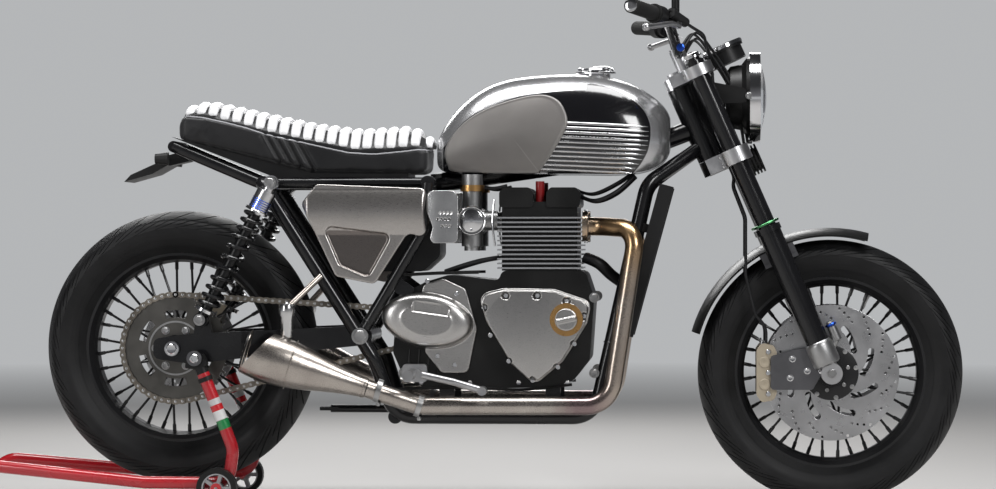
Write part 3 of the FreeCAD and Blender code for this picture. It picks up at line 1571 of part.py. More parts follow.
def oval_cover():
    """A domed oval cover with a shallow slot on its face."""
    wires = []
    for depth, share in zip(oval_depths, oval_size_shares):
        ellipse = Part.Ellipse(vec(0, 0, 0), oval_half_length * share, oval_half_height * share)
        wire = Part.Wire(ellipse.toShape())
        wire.rotate(vec(0, 0, 0), axis_x, 90)
        wire.rotate(vec(0, 0, 0), axis_y, oval_lean)
        wire.translate(oval_centre - axis_y * (case_half_width + depth))
        wires.append(wire)
    dome = Part.makeLoft(wires, True, False)
    face = -case_half_width - oval_depths[-1]
    low = vec(-oval_slot_half_length, face - cut_overrun, -oval_slot_half_height)
    cut_depth = oval_slot_depth + cut_overrun
    slot = Part.makeBox(2 * oval_slot_half_length, cut_depth, 2 * oval_slot_half_height, low)
    slot.rotate(vec(0, 0, 0), axis_y, oval_lean)
    slot.translate(oval_slot_centre)
    return dome.cut(slot)


def back_plate(oval):
    """The plate behind the oval cover."""
    points = outline(back_plate_corner, back_plate_length, back_plate_height, back_plate_shares)
    plate = side_plate(points, -case_half_width, -case_half_width - back_plate_thickness, back_plate_bend)
    return largest(plate.cut(oval))


def round_cover(place, radii, depths):
    """A stepped round cover on the crankcase's left side."""
    steps = [(case_half_width + depth, radius) for depth, radius in zip(depths, radii)]
    return stacked_circles(place, axis_y, steps)


def brass_rings():
    """The ring round the oil filler and those round the throttle bodies' necks."""
    face = -case_half_width - cover_depth
    bore = filler_cap_radius + running_gap
    rings = [ring(filler_place + axis_y * face, filler_place + axis_y * (face - filler_ring_height),
                  filler_ring_radius, bore)]
    for side in sides:
        neck = sided(throttle_place + axis_y * throttle_side, side)
        rings.append(ring(neck + axis_z * brass_low, neck + axis_z * brass_high, brass_radius,
                          throttle_neck_radius + running_gap))
    return rings


# Throttle bodies, air box and covers

def throttle_bodies():
    """A drum with a round cap, a bowl under it, a neck over it and pipes fore and aft."""
    front = barrel_corner().x - fin_reach - running_gap
    back = airbox_high.x
    bodies = []
    for side in sides:
        neck = sided(throttle_place + axis_y * throttle_side, side)
        drum_end = side * throttle_outer
        groove = side * (throttle_outer - throttle_cap_groove * 2)
        drum_radius = throttle_cap_radius - throttle_cap_groove
        pieces = [cross_rod(throttle_place, side * throttle_inner, groove, drum_radius)]
        pieces.append(cross_rod(throttle_place, groove, drum_end, throttle_cap_radius))
        pieces.append(rod(neck - axis_z * throttle_bowl_drop, neck, throttle_bowl_radius))
        foot = neck - axis_z * (throttle_bowl_drop + throttle_bowl_foot)
        pieces.append(rod(foot, neck, throttle_bowl_foot_radius))
        pieces.append(rod(neck, neck + axis_z * throttle_neck_top, throttle_neck_radius))
        collar_top = neck + axis_z * throttle_top_height
        pieces.append(rod(neck + axis_z * brass_high, collar_top, throttle_bowl_radius))
        inlet = sided(throttle_place + axis_y * inlet_side, side)
        pieces.append(rod(vec(back, inlet.y, inlet.z), vec(front, inlet.y, inlet.z), inlet_radius))
        bodies.append(fused(pieces))
    return bodies


def airbox():
    """The air box between the side covers, with stubs that meet the throttle bodies."""
    size = airbox_high - airbox_low
    points = outline(airbox_low, size.x, size.z, airbox_shares)
    return side_plate(points, airbox_low.y, airbox_high.y, airbox_bend)


def throttle_cover(side):
    """A shaped guard with three short rows of holes."""
    corner = throttle_cover_corner
    near = side * corner.y
    far = side * (corner.y + throttle_cover_thickness)
    points = outline(corner, throttle_cover_length, throttle_cover_height, throttle_cover_shares)
    plate = side_plate(points, near, far, throttle_cover_bend)
    for (x_share, z_share), count in zip(cover_hole_rows, cover_hole_counts):
        for index in range(count):
            step = (index - (count - 1) / 2) * cover_hole_pitch
            place = corner + vec(throttle_cover_length * x_share + step, 0, throttle_cover_height * z_share)
            plate = plate.cut(cross_rod(place, 0, 2 * far, cover_hole_radius))
    return plate


def side_cover(side):
    """A side cover with a shallow three-cornered recess."""
    corner = side_cover_corner
    near = side * corner.y
    far = side * (corner.y + side_cover_thickness)
    plate = side_plate(outline(corner, side_cover_length, side_cover_height, side_cover_shares), near, far,
                       side_cover_bend)
    recess = side_plate(outline(corner, side_cover_length, side_cover_height, side_recess_shares),
                        far - side * side_recess_depth, far + side * side_recess_depth, side_cover_bend)
    return plate.cut(recess)


# Tank and seat

def tank_section(station, low, high, half):
    """A closed wire across the tank: a flat bottom and a smooth crown."""
    bottom = tank_bottom_z + tank_height * low
    tall = tank_height * (high - low)
    width = tank_half_width * half
    x = tank_rear_x + tank_length * station
    points = [vec(x, width * a, bottom + tall * b) for a, b in tank_section_shares]
    curve = Part.BSplineCurve()
    curve.interpolate(points[1:] + [points[0]])
    return Part.Wire([Part.makeLine(points[0], points[1]), curve.toShape()])


def fuel_tank():
    """The tank's crowned body over a tunnel for the backbone."""
    body = Part.makeLoft([tank_section(*station) for station in tank_station_shares], True, False)
    head, knee, end = backbone_path()
    rear_x = end.x - tunnel_rear_reach
    roof = [(place.x, place.z + backbone_radius + tunnel_clearance) for place in (knee, head)]
    end_roof = end.z + backbone_radius + tunnel_clearance
    floor = tank_bottom_z - cut_overrun
    points = [(rear_x, floor), (rear_x, end_roof)] + roof + [(head.x, floor)]
    tunnel = side_plate(points, -tunnel_half_width, tunnel_half_width)
    socket = rod(cap_place, cap_place + axis_z * (2 * cap_height), cap_radius)
    return body.cut(tunnel).cut(socket)


def fuel_cap():
    steps = [(0, cap_radius), (cap_height - cap_bevel, cap_radius), (cap_height, cap_radius - cap_bevel)]
    return stacked_circles(cap_place, axis_z, steps)


def seat_section(station, low, edge, crown, half):
    """A wire across the seat: flat bottom, upright sides and a crowned top."""
    x = seat_low.x + seat_length * station
    bottom = seat_low.z + seat_height * low
    side_z = seat_low.z + seat_height * edge
    top = seat_low.z + seat_height * crown
    width = seat_half_width * half
    across, rise = seat_crown_shares
    shoulder = side_z + (top - side_z) * rise
    points = [
        vec(x, -width, bottom),
        vec(x, width, bottom),
        vec(x, width, side_z),
        vec(x, width * across, shoulder),
        vec(x, 0, top),
        vec(x, -width * across, shoulder),
        vec(x, -width, side_z),
    ]
    return Part.makePolygon(points + [points[0]])


def seat():
    return Part.makeLoft([seat_section(*station) for station in seat_station_shares], True, True)


def seat_pan():
    """The tray between the rails and the cushion."""
    points = []
    for station, low, edge, crown, half in seat_station_shares:
        if station <= pan_front_share:
            points.append((seat_low.x + seat_length * station, seat_low.z + seat_height * low - running_gap))
    floor = rail_z + rail_radius + running_gap
    points += [(points[-1][0], floor), (pan_corner_x, floor)]
    return side_plate(points, -pan_half_width, pan_half_width)


# Tail plate and indicators

def tail_unit():
    """The number plate's holder on its bracket, with an indicator each side."""
    plate = side_plate(outline(tail_corner, tail_length, tail_height, tail_shares), -tail_half_width,
                       tail_half_width)
    bracket = side_plate(outline(bracket_corner, bracket_length, bracket_height, bracket_shares),
                         -bracket_half_width, bracket_half_width)
    pieces = [plate, bracket]
    pieces.append(cross_rod(indicator_place, -indicator_reach, indicator_reach, indicator_stalk_radius))
    for side in sides:
        centre = sided(indicator_place + axis_y * indicator_reach, side)
        half = axis_x * (indicator_length / 2)
        circles = [(0, indicator_rear_radius), (indicator_length, indicator_radius)]
        pieces.append(stacked_circles(centre - half, axis_x, circles))
    return fused(pieces)


# Exhaust

def port_start():
    return barrel_corner().x + barrel_length + fin_reach + running_gap


def header_pipe(side):
    """From the head's port forward and down, then back along the cradle to the silencer."""
    start = vec(port_start(), side * port_side, port_z)
    points = [start, start + axis_x * header_start_reach]
    points += [sided(place, side) for place in (header_shoulder, header_corner, header_rear, silencer_start)]
    return pipe(points, header_radius, header_bend)


def silencer_part(side):
    """A cone that grows from the pipe to a wide open mouth cut on a slant."""
    start = sided(silencer_start, side)
    end = sided(silencer_end, side)
    along = (end - start).normalize()
    length = (end - start).Length
    steps = [(length * share, radius) for share, radius in zip(silencer_station_shares, silencer_radii)]
    wires = [Part.Wire(Part.makeCircle(radius, start + along * step, along)) for step, radius in steps]
    cone = Part.makeLoft(wires, True, False)
    mouth = rod(end - along * silencer_bore_depth, end + along * cut_overrun, silencer_bore_radius)
    slant = silencer_slash_lean + math.atan2(along.z, -along.x)
    normal = vec(-math.cos(slant), 0, math.sin(slant))
    across = axis_y
    up = normal.cross(across)
    size = 2 * max(silencer_radii)
    place = end - along * silencer_slash_back
    knife = leaning_box(vec(0, -size, -size), vec(size, size, size), place, normal, across, up)
    return cone.cut(mouth).cut(knife)


def hanger_parts(side):
    """The strut from the frame's rear tube to a boss, and its foot on the silencer."""
    top = vec(hanger_top.x, side * (rear_tube_y + frame_radius), hanger_top.z)
    knee = sided(hanger_knee, side)
    foot = sided(hanger_foot, side)
    reach = side * hanger_boss_half_width
    boss = cross_rod(hanger_knee, knee.y - reach, knee.y + reach, hanger_boss_radius)
    return [rod(top, knee, hanger_radius), rod(knee, foot, hanger_radius), boss]


def exhaust(side, frame):
    """Port flange, header, silencer and hanger of one side as one piece."""
    port = vec(port_start(), side * port_side, port_z)
    flange = rod(port, port + axis_x * port_flange_thickness, port_flange_radius)
    pieces = [header_pipe(side), flange, silencer_part(side)] + hanger_parts(side)
    return largest(pieces[0].multiFuse(pieces[1:]).cut(frame))


# Radiator and foot sets

def radiator():
    """A leaning core between two side tanks, with lugs that meet the downtubes."""
    ahead = vec(math.cos(radiator_lean), 0, -math.sin(radiator_lean))
    up = vec(math.sin(radiator_lean), 0, math.cos(radiator_lean))

    def block(low, high):
        return leaning_box(low, high, radiator_base, ahead, axis_y, up)

    far_corner = vec(radiator_thickness, radiator_half_width, radiator_height)
    pieces = [block(vec(0, -radiator_half_width, 0), far_corner)]
    for side in sides:
        outer = side * radiator_half_width
        inner = side * (radiator_half_width - radiator_tank_width)
        pieces.append(block(vec(-radiator_tank_reach, min(inner, outer), -radiator_tank_reach),
                            vec(radiator_thickness + radiator_tank_reach, max(inner, outer),
                                radiator_height + radiator_tank_reach)))
        near = side * radiator_lug_side
        far = near + side * radiator_lug_width
        for level in radiator_lug_levels:
            pieces.append(block(vec(-radiator_lug_reach, min(near, far), level),
                                vec(radiator_tank_reach, max(near, far), level + radiator_lug_height)))
    whole = fused(pieces)
    for side in sides:
        whole = whole.cut(rod(sided(downtube_foot, side), sided(downtube_shoulder, side), frame_radius))
    return largest(whole)


def foot_set(side):
    """A foot peg on its plate with the brake pedal or gear lever."""
    points = outline(peg_plate_corner, peg_plate_length, peg_plate_height, square_shares)
    tip = sided(pedal_tip, side)
    pieces = [cross_rod(peg_place, side * peg_inner, side * peg_outer, peg_radius)]
    pieces.append(pipe([sided(lever_pivot, side), sided(pedal_knee, side), tip], pedal_radius, pedal_bend))
    pieces.append(cross_rod(pedal_tip, tip.y - side * pedal_radius, tip.y + side * pedal_pad_length,
                            pedal_pad_radius))
    pieces.append(side_plate(points, side * case_half_width, side * peg_inner, peg_plate_bend))
    pieces.append(cross_rod(lever_pivot, side * peg_inner, side * lever_link_end, lever_link_radius))
    return fused(pieces)


# Side stand

def side_stand():
    """The folded leg with its eye on the frame's pin and its foot."""
    centre = side_stand_pivot
    near = centre.y - side_stand_eye_half_width
    far = centre.y + side_stand_eye_half_width
    size = side_stand_foot
    pieces = [cross_rod(centre, near, far, side_stand_eye_radius)]
    pieces.append(rod(centre, centre + side_stand_leg, side_stand_leg_radius))
    pieces.append(Part.makeBox(size.x, size.y, size.z, centre + side_stand_foot_place))
    bore = cross_rod(centre, near - cut_overrun, far + cut_overrun, side_stand_pin_radius + running_gap)
    return fused(pieces).cut(bore)


# Paddock stand

def stand_path(side):
    """One side of the stand, from under the bobbin down, back along the floor and to the handle."""
    wide = side * stand_half_width
    arm = [vec(place.x, wide, place.z) for place in (stand_arm_top, stand_arm_low, stand_knee, stand_foot)]
    rear = vec(stand_rear_x + stand_tube_radius, side * stand_rear_half_width, stand_tube_radius)
    return arm + [sided(stand_base, side), sided(stand_rise, side), rear]


def paddock_stand():
    """One bent tube from arm to arm round the back, with an axle for each wheel."""
    pieces = [pipe(stand_path(-1) + list(reversed(stand_path(1))), stand_tube_radius, stand_bend)]
    outer = stand_half_width + stand_wheel_gap + stand_wheel_width
    place = vec(stand_wheel_x, 0, stand_wheel_radius)
    for side in sides:
        head = side * (outer + running_gap)
        end = side * (outer + stand_axle_end)
        pieces.append(cross_rod(place, side * (stand_half_width - stand_axle_radius), end, stand_axle_radius))
        pieces.append(cross_rod(place, head, end, stand_axle_head_radius))
    return fused(pieces)


def stand_cradle(side):
    """The forked cup on top of an arm, round the bobbin."""
    path = stand_path(side)
    up = (path[0] - path[1]).normalize()
    wide = side * stand_half_width
    stem = rod(path[0], path[0] + up * cradle_stem_length, stand_tube_radius)
    points = outline(cradle_corner, cradle_length, cradle_height, cradle_shares)
    head = side_plate(points, wide - cradle_half_width, wide + cradle_half_width, cradle_bend)
    reach = 2 * cradle_half_width
    bobbin = cross_rod(bobbin_place, wide - reach, wide + reach, bobbin_radius)
    return largest(fused([stem, head]).cut(bobbin))


def stand_wheel(side):
    """A tyre and rim on spokes round a bored hub."""
    near = side * (stand_half_width + stand_wheel_gap)
    far = side * (stand_half_width + stand_wheel_gap + stand_wheel_width)
    centre = vec(stand_wheel_x, 0, stand_wheel_radius)
    start = centre + axis_y * near
    end = centre + axis_y * far
    pieces = [ring(start, end, stand_wheel_radius, stand_wheel_rim_radius)]
    pieces.append(rod(start, end, stand_wheel_hub_radius))
    half = stand_wheel_spoke_width / 2
    low = vec(0, -stand_wheel_spoke_half_depth, -half)
    high = vec(stand_wheel_rim_radius + half, stand_wheel_spoke_half_depth, half)
    middle = centre + axis_y * ((near + far) / 2)
    for index in range(stand_wheel_spokes):
        out = around_y(2 * math.pi * index / stand_wheel_spokes)
        pieces.append(leaning_box(low, high, middle, out, axis_y, out.cross(axis_y)))
    reach = side * cut_overrun
    bore = cross_rod(centre, near - reach, far + reach, stand_axle_radius + running_gap)
    return fused(pieces).cut(bore)


def export(node, shapes):
    """Writes one node, moved so that the middle of the whole thing is the origin."""
    group = shapes if isinstance(shapes, list) else [shapes]
    whole = group[0] if len(group) == 1 else Part.makeCompound(group)
    whole = whole.copy()
    whole.translate(vec(-middle_x, 0, 0))
    whole.exportStep("parts/" + node + ".step")
    print("node", node, len(whole.Solids), round(whole.Volume), whole.isValid())


engine_block = crankcase()
frame_tubes = main_frame(engine_block)
cover_oval = oval_cover()

# Wheels, brakes and chain
export("front_tyre", tyre(front_axle, front_tyre_radius, front_tyre_width))
export("rear_tyre", tyre(rear_axle, rear_tyre_radius, rear_tyre_width))
export("front_wire_wheel", wire_wheel(front_axle, front_tyre_width, front_hub_half_width))
export("rear_wire_wheel", wire_wheel(rear_axle, rear_tyre_width, rear_hub_half_width))
export("front_discs", [front_disc(side) for side in sides])
export("rear_disc", rear_disc())
export("front_calipers", [front_caliper(side) for side in sides])
export("rear_caliper", rear_caliper())
export("rear_sprocket", rear_sprocket())
export("drive_chain", drive_chain())

# Fork and steering
export("yokes", yokes())
export("fork_legs", fork_legs())
export("front_axle", front_axle_bar())
export("front_fender", front_fender())
export("fork_brackets", fork_brackets())
export("brake_hoses", [brake_hose(side) for side in sides] + [upper_hose()])
export("headlight_bucket", [headlight_bucket()] + headlight_ears())
export("headlight_rim", headlight_rim())
export("headlight_lens", headlight_lens())
export("horn", horn())
export("speedometer", speedometer())
export("handlebar", handlebar())
export("grips", grips())
export("bar_clamps", bar_clamps())
export("bar_controls", bar_controls())
export("levers", levers())
export("fluid_cup", fluid_cup())

# Frame and suspension
export("main_frame", frame_tubes)
export("swingarm", swingarm())
export("rear_axle", rear_axle_bar())
export("shock_bodies", [shock_body(side) for side in sides])
export("shock_springs", [shock_spring(side) for side in sides])
export("radiator", radiator())
export("foot_sets", [foot_set(side) for side in sides])
export("side_stand", side_stand())

# Engine and exhaust
export("crankcase", engine_block)
export("barrel", barrel())
export("cylinder_head", cylinder_head())
export("plug_caps", plug_caps())
export("right_covers", [clutch_cover(), cover_oval, back_plate(cover_oval)])
export("left_covers", [round_cover(engine, left_cover_radii, left_cover_depths),
                       round_cover(left_gear_place, left_gear_radii, left_gear_depths)])
export("brass_rings", brass_rings())
export("throttle_bodies", throttle_bodies())
export("throttle_covers", [throttle_cover(side) for side in sides])
export("side_covers", [side_cover(side) for side in sides])
export("exhausts", [exhaust(side, frame_tubes) for side in sides])

# Tank, seat and tail
export("fuel_tank", fuel_tank())
export("fuel_cap", fuel_cap())
export("seat", seat())
export("seat_pan", [seat_pan(), airbox()])
export("tail_unit", tail_unit())

# Paddock stand
export("paddock_stand", paddock_stand())
export("stand_cradles", [stand_cradle(side) for side in sides])
export("stand_wheel_right", stand_wheel(-1))
export("stand_wheel_left", stand_wheel(1))
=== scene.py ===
import json
import math

import bmesh
import bpy
from mathutils import Matrix, Vector
from mathutils.bvhtree import BVHTree


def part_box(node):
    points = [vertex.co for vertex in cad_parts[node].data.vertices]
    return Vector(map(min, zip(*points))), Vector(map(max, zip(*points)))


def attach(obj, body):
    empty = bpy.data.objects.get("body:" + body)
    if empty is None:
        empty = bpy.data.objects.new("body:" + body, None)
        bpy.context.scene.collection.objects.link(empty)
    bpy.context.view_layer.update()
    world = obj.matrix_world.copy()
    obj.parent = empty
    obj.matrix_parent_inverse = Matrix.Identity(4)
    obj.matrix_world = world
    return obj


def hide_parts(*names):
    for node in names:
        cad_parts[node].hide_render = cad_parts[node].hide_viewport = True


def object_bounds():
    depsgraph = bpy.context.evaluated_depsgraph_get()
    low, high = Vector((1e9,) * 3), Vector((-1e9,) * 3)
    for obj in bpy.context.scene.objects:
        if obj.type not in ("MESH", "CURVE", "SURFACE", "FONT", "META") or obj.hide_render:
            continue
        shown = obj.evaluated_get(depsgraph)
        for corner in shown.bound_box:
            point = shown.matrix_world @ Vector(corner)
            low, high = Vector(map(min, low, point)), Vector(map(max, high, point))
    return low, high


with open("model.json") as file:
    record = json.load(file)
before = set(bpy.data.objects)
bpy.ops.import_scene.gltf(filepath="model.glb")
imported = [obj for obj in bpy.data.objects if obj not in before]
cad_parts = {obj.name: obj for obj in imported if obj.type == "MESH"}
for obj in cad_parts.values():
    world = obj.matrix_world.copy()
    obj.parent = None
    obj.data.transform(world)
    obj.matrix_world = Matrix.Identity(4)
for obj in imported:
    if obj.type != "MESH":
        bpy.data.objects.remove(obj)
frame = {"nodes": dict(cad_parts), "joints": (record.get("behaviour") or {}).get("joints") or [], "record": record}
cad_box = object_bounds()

# Units: metres in the scene. Named sizes are in millimetres, but those of the stage and camera in metres
mm = 0.001
turn = 2 * math.pi
forward = Vector((1, 0, 0))
across = Vector((0, 1, 0))
up = Vector((0, 0, 1))
sides = (-1, 1)

joint_place = {joint["name"]: Vector(joint["pos_m"]) for joint in frame["joints"]}
front_axle = joint_place["front_wheel_spin"]
rear_axle = joint_place["rear_wheel_spin"]
steering_axis = Vector(next(joint["axis"] for joint in frame["joints"] if joint["name"] == "steering_head"))
steer_up = steering_axis if steering_axis.z > 0 else -steering_axis
steer_forward = across.cross(steer_up)

# Photograph and camera
image_width = 996
focal_pixels = 3277.0
sensor_width = 36.0
camera_distance = 7.5
camera_height = 0.589
camera_azimuth = math.radians(3.5)
aim_x = 0.105

# Stage and light
floor_radius = 60.0
floor_clear_radius = 3.2
floor_fade_radius = 9.0
floor_colour = (0.50, 0.49, 0.48, 1)
backdrop_colour = (0.46, 0.47, 0.48, 1)
ambient_colour = (0.11, 0.112, 0.115)
# What shiny surfaces mirror: height in the room and its colour there
mirrored_room = ((0.02, (0.16, 0.16, 0.17, 1)), (0.45, (0.025, 0.026, 0.028, 1)))
# Name, place, what it points at, size and watts of each lamp
lamps = (
    ("top", (0.0, -0.5, 3.2), (0.0, 0.0, 0.6), (3.4, 0.9), 120.0),
    ("key", (2.6, -3.6, 2.8), (0.1, 0.0, 0.6), (1.2, 1.6), 85.0),
    ("fill", (-3.0, -3.4, 1.6), (-0.2, 0.0, 0.5), (0.9, 2.0), 40.0),
    ("rim", (-0.6, 3.4, 2.4), (0.0, 0.0, 0.7), (3.0, 1.0), 70.0),
)


# Turned profiles: distance along the axis, radius, and corners where the ring isn't round

hub_plate_steps = [(-3.4, 30.6), (-3.4, 60.0), (-2.6, 62.0), (2.6, 62.0), (3.4, 60.0), (3.4, 30.6)]
button_steps = [(-4.2, 4.0), (-3.9, 5.4), (3.9, 5.4), (4.2, 4.0), (3.6, 2.4)]
rear_hub_plate_steps = [(-3.4, 30.6), (-3.4, 50.0), (3.4, 50.0), (3.4, 30.6)]
valve_steps = [(0, 5.5), (3, 5.5), (4, 3.2), (24, 3.2), (25, 4.2), (34, 4.2), (36, 3.0)]
pin_steps = [(-9.0, 2.4), (-8.6, 3.2), (8.6, 3.2), (9.0, 2.4)]
sprocket_hoop_steps = [(-1.0, 62.0), (1.6, 62.0), (1.6, 58.0), (-1.0, 58.0)]
top_collar_steps = [(0.2, 27.0), (5.0, 27.0), (6.0, 26.0), (6.0, 21.5), (0.2, 21.5)]
bottom_collar_steps = [(-9.0, 25.0), (-8.0, 26.8), (-1.0, 26.8), (-0.2, 25.0), (-0.2, 18.0), (-9.0, 18.0)]
cap_flange_steps = [(-3.0, 44.0), (-1.0, 45.5), (1.5, 45.0), (2.5, 42.0), (2.0, 34.0), (-3.0, 34.0)]
cap_lid_steps = [(0, 33.0), (7.0, 33.0), (9.0, 31.5), (9.6, 27.0), (8.4, 26.0), (8.6, 22.0),
                 (10.5, 14.0), (11.0, 5.0)]
cap_hinge_steps = [(0, 3.6), (0.6, 4.4), (21.4, 4.4), (22, 3.6)]
drum_cap_steps = [(-1, 26.0), (1.5, 26.0), (2.6, 24.0), (2.6, 10.0), (3.4, 8.0), (3.4, 2.0)]
union_steps = [(-6, 7.0, 6), (6, 7.0, 6), (7, 5.0)]
baffle_steps = [(0, 44.0), (4, 44.0), (4, 20.0), (0, 20.0)]
port_clamp_steps = [(-3, 22.0), (-3, 27.0), (3, 27.0), (5, 24.0), (5, 22.0)]
clamp_lug_steps = [(-11, 3.0), (-10, 4.0, 6), (10, 4.0, 6), (11, 3.0)]
baffle_hole_steps = [(3.2, 2.4), (4.6, 2.4), (5.0, 1.6)]
bulb_steps = [(-34, 10.0), (-30, 10.0), (-28, 6.0), (-14, 6.5), (-6, 5.0), (-2, 1.5)]
lamp_screw_steps = [(-6, 3.0), (-5, 4.4), (5, 4.4), (6, 3.0)]
dial_bezel_steps = [(-4.0, 44.0), (-4.0, 48.5), (3.0, 48.5), (5.0, 46.5), (5.0, 43.5), (1.0, 42.5)]
needle_hub_steps = [(0.8, 5.0), (3.4, 5.0), (4.0, 3.5)]
stem_nut_steps = [(-1, 19.0, 6), (11, 19.0, 6), (13, 16.0), (13, 8.0)]
fork_cap_steps = [(-1, 22.0), (3, 22.0), (4, 17.0, 6), (9, 17.0, 6), (10, 14.0), (10, 6.0), (13, 5.0),
                  (13, 2.0)]
bleed_steps = [(-2, 3.6), (2, 3.6, 6), (6, 3.6, 6), (7, 2.2), (12, 2.2)]
piston_cap_steps = [(-1, 13.0), (1.2, 13.0), (2.4, 11.5), (2.4, 6.0), (1.4, 4.0)]
bar_cap_steps = [(0, 12.0), (1.0, 14.0), (3.0, 14.0), (4.0, 12.0), (4.0, 5.0)]
banjo_steps = [(-8, 5.0), (-7, 8.0, 6), (-2, 8.0, 6), (-2, 9.0), (5, 9.0), (6, 7.0), (9, 4.0)]
sleeve_steps = [(-5, 14.2), (-5, 16.5), (5, 16.5), (5, 14.2)]
stand_nut_steps = [(-1, 7.0), (1, 7.0), (1.4, 5.0, 6), (5, 5.0, 6), (5.6, 3.5)]

# Places and plain mesh forms

slot_steps = 8
# Pieces are laid on a skin from this far out, and tries go up by a step until the skin is met
lay_reach = 500.0
lay_step = 1.5
lay_tries = 24


def at(x, y, z):
    """A drawn place: millimetres ahead of the rear axle, left of the middle and over the floor."""
    return Vector((rear_axle.x + x * mm, y * mm, z * mm))


def on_fork(rise, ahead, side=0.0):
    """A place measured along the fork from the front axle, ahead of it, and to the left."""
    return front_axle + steer_up * (rise * mm) + steer_forward * (ahead * mm) + aside(side)


def aside(distance):
    """A step to the left, in millimetres, or to the right when it is negative."""
    return across * (distance * mm)


def around(angle, radius):
    """An arm in the wheels' plane, in millimetres, turned up from straight ahead."""
    return (forward * math.cos(angle) + up * math.sin(angle)) * (radius * mm)


def limited(value):
    return min(max(value, 0.0), 1.0)


def cross_axes(axis):
    """Two directions square to an axis and to each other."""
    guide = up if abs(axis.z) < 0.9 else forward
    first = guide.cross(axis).normalized()
    return first, axis.cross(first)


def link(obj):
    bpy.context.scene.collection.objects.link(obj)
    return obj


def mesh_object(name, bm, smooth_angle=None):
    """Turns a bmesh into a linked object, with smooth shading up to an angle if one is given."""
    mesh = bpy.data.meshes.new(name)
    bmesh.ops.recalc_face_normals(bm, faces=bm.faces)
    bm.to_mesh(mesh)
    bm.free()
    obj = link(bpy.data.objects.new(name, mesh))
    if smooth_angle is not None:
        mesh.shade_smooth()
        mesh.set_sharp_from_angle(angle=smooth_angle)
    return obj


def put_on(obj, look):
    obj.data.materials.clear()
    obj.data.materials.append(finishes[look])


def dress(obj, look, body):
    """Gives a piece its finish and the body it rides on."""
    put_on(obj, look)
    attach(obj, body)
    return obj


def make_piece(name, bm, slot, body="chassis", look=None, smooth_angle=math.radians(35)):
    """A piece from a bmesh. Its finish is that of its slot unless another is named."""
    return dress(mesh_object(name, bm, smooth_angle), look or slot, body)


def ring_of_points(bm, centre, axis, radius, count, corners=0):
    """A closed ring of points; with corners it is a polygon that a circle of that radius fits in."""
    first, second = cross_axes(axis)
    ring = []
    for index in range(count):
        angle = turn * index / count
        reach = radius
        if corners:
            half = math.pi / corners
            reach = radius / math.cos(angle % (2 * half) - half)
        out = first * math.cos(angle) + second * math.sin(angle)
        ring.append(bm.verts.new(centre + out * reach))
    return ring


def skin(bm, rings, round_trip=False):
    pairs = list(zip(rings, rings[1:]))
    if round_trip:
        pairs.append((rings[-1], rings[0]))
    for low, high in pairs:
        count = len(low)
        for index in range(count):
            after = (index + 1) % count
            bm.faces.new((low[index], low[after], high[after], high[index]))


def close_run(bm, rings):
    """Skins a run of rings and caps both its ends."""
    skin(bm, rings)
    bm.faces.new(list(reversed(rings[0])))
    bm.faces.new(rings[-1])


def lathe(bm, place, axis, steps, count=32):
    """A closed turned form. A step is a distance along the axis, a radius and its corners, if any."""
    rings = []
    for distance, radius, *corners in steps:
        rings.append(ring_of_points(bm, place + axis * (distance * mm), axis, radius * mm, count, *corners))
    close_run(bm, rings)


def hoop(bm, place, axis, steps, count=96):
    """A closed ring turned about an axis from a closed run of steps."""
    skin(bm, [ring_of_points(bm, place + axis * (a * mm), axis, r * mm, count) for a, r in steps], True)


def bead_steps(along, radius, thick, points=10):
    """The steps of a round bead at a distance and a radius."""
    return [(along + math.cos(turn * i / points) * thick, radius + math.sin(turn * i / points) * thick)
            for i in range(points)]


def socket_bolt(bm, place, axis, radius, height):
    """A round bolt head with a six-sided socket."""
    edge = radius * 0.14
    steps = [(-1.0, radius), (height - edge, radius), (height, radius - edge), (height, radius * 0.56),
             (height, radius * 0.5, 6), (height * 0.4, radius * 0.5, 6)]
    lathe(bm, place, axis, steps, 24)


def hex_bolt(bm, place, axis, radius, height):
    """A six-sided head on its washer, with a chamfered face."""
    washer = radius * 1.45
    steps = [(-1.0, washer), (height * 0.16, washer), (height * 0.18, radius, 6), (height * 0.85, radius, 6),
             (height, radius * 0.92), (height * 0.94, radius * 0.55)]
    lathe(bm, place, axis, steps, 24)


def sweep(bm, points, radius, count=12):
    """A round bar along a run of points, with a radius in millimetres or one for each point."""
    rings = []
    normal = None
    total = len(points)
    for index, point in enumerate(points):
        tangent = (points[min(index + 1, total - 1)] - points[max(index - 1, 0)]).normalized()
        if normal is None:
            normal = cross_axes(tangent)[0]
        normal = (normal - tangent * normal.dot(tangent)).normalized()
        second = tangent.cross(normal)
        reach = (radius[index] if isinstance(radius, (list, tuple)) else radius) * mm
        rings.append([bm.verts.new(point + (normal * math.cos(turn * i / count)
                                            + second * math.sin(turn * i / count)) * reach)
                      for i in range(count)])
    close_run(bm, rings)


def between(p0, p1, p2, p3, share):
    """A point of the smooth curve through four, between the middle two."""
    a = p1 * 2
    b = (p2 - p0) * share
    c = (p0 * 2 - p1 * 5 + p2 * 4 - p3) * (share * share)
    d = (p1 * 3 - p0 - p2 * 3 + p3) * (share * share * share)
    return (a + b + c + d) * 0.5


def smooth_run(places, steps=8, closed=False):
    """A finer run of points on the smooth curve through the places."""
    total = len(places)
    run = []
    for index in range(total if closed else total - 1):
        if closed:
            four = [places[(index + shift) % total] for shift in (-1, 0, 1, 2)]
        else:
            four = [places[min(max(index + shift, 0), total - 1)] for shift in (-1, 0, 1, 2)]
        run += [between(*four, step / steps) for step in range(steps)]
    if not closed:
        run.append(places[-1].copy())
    return run


def flat_run(pairs, steps=6, closed=False):
    """The same for pairs of numbers in a plane."""
    run = smooth_run([Vector((a, 0, b)) for a, b in pairs], steps, closed)
    return [(point.x, point.z) for point in run]


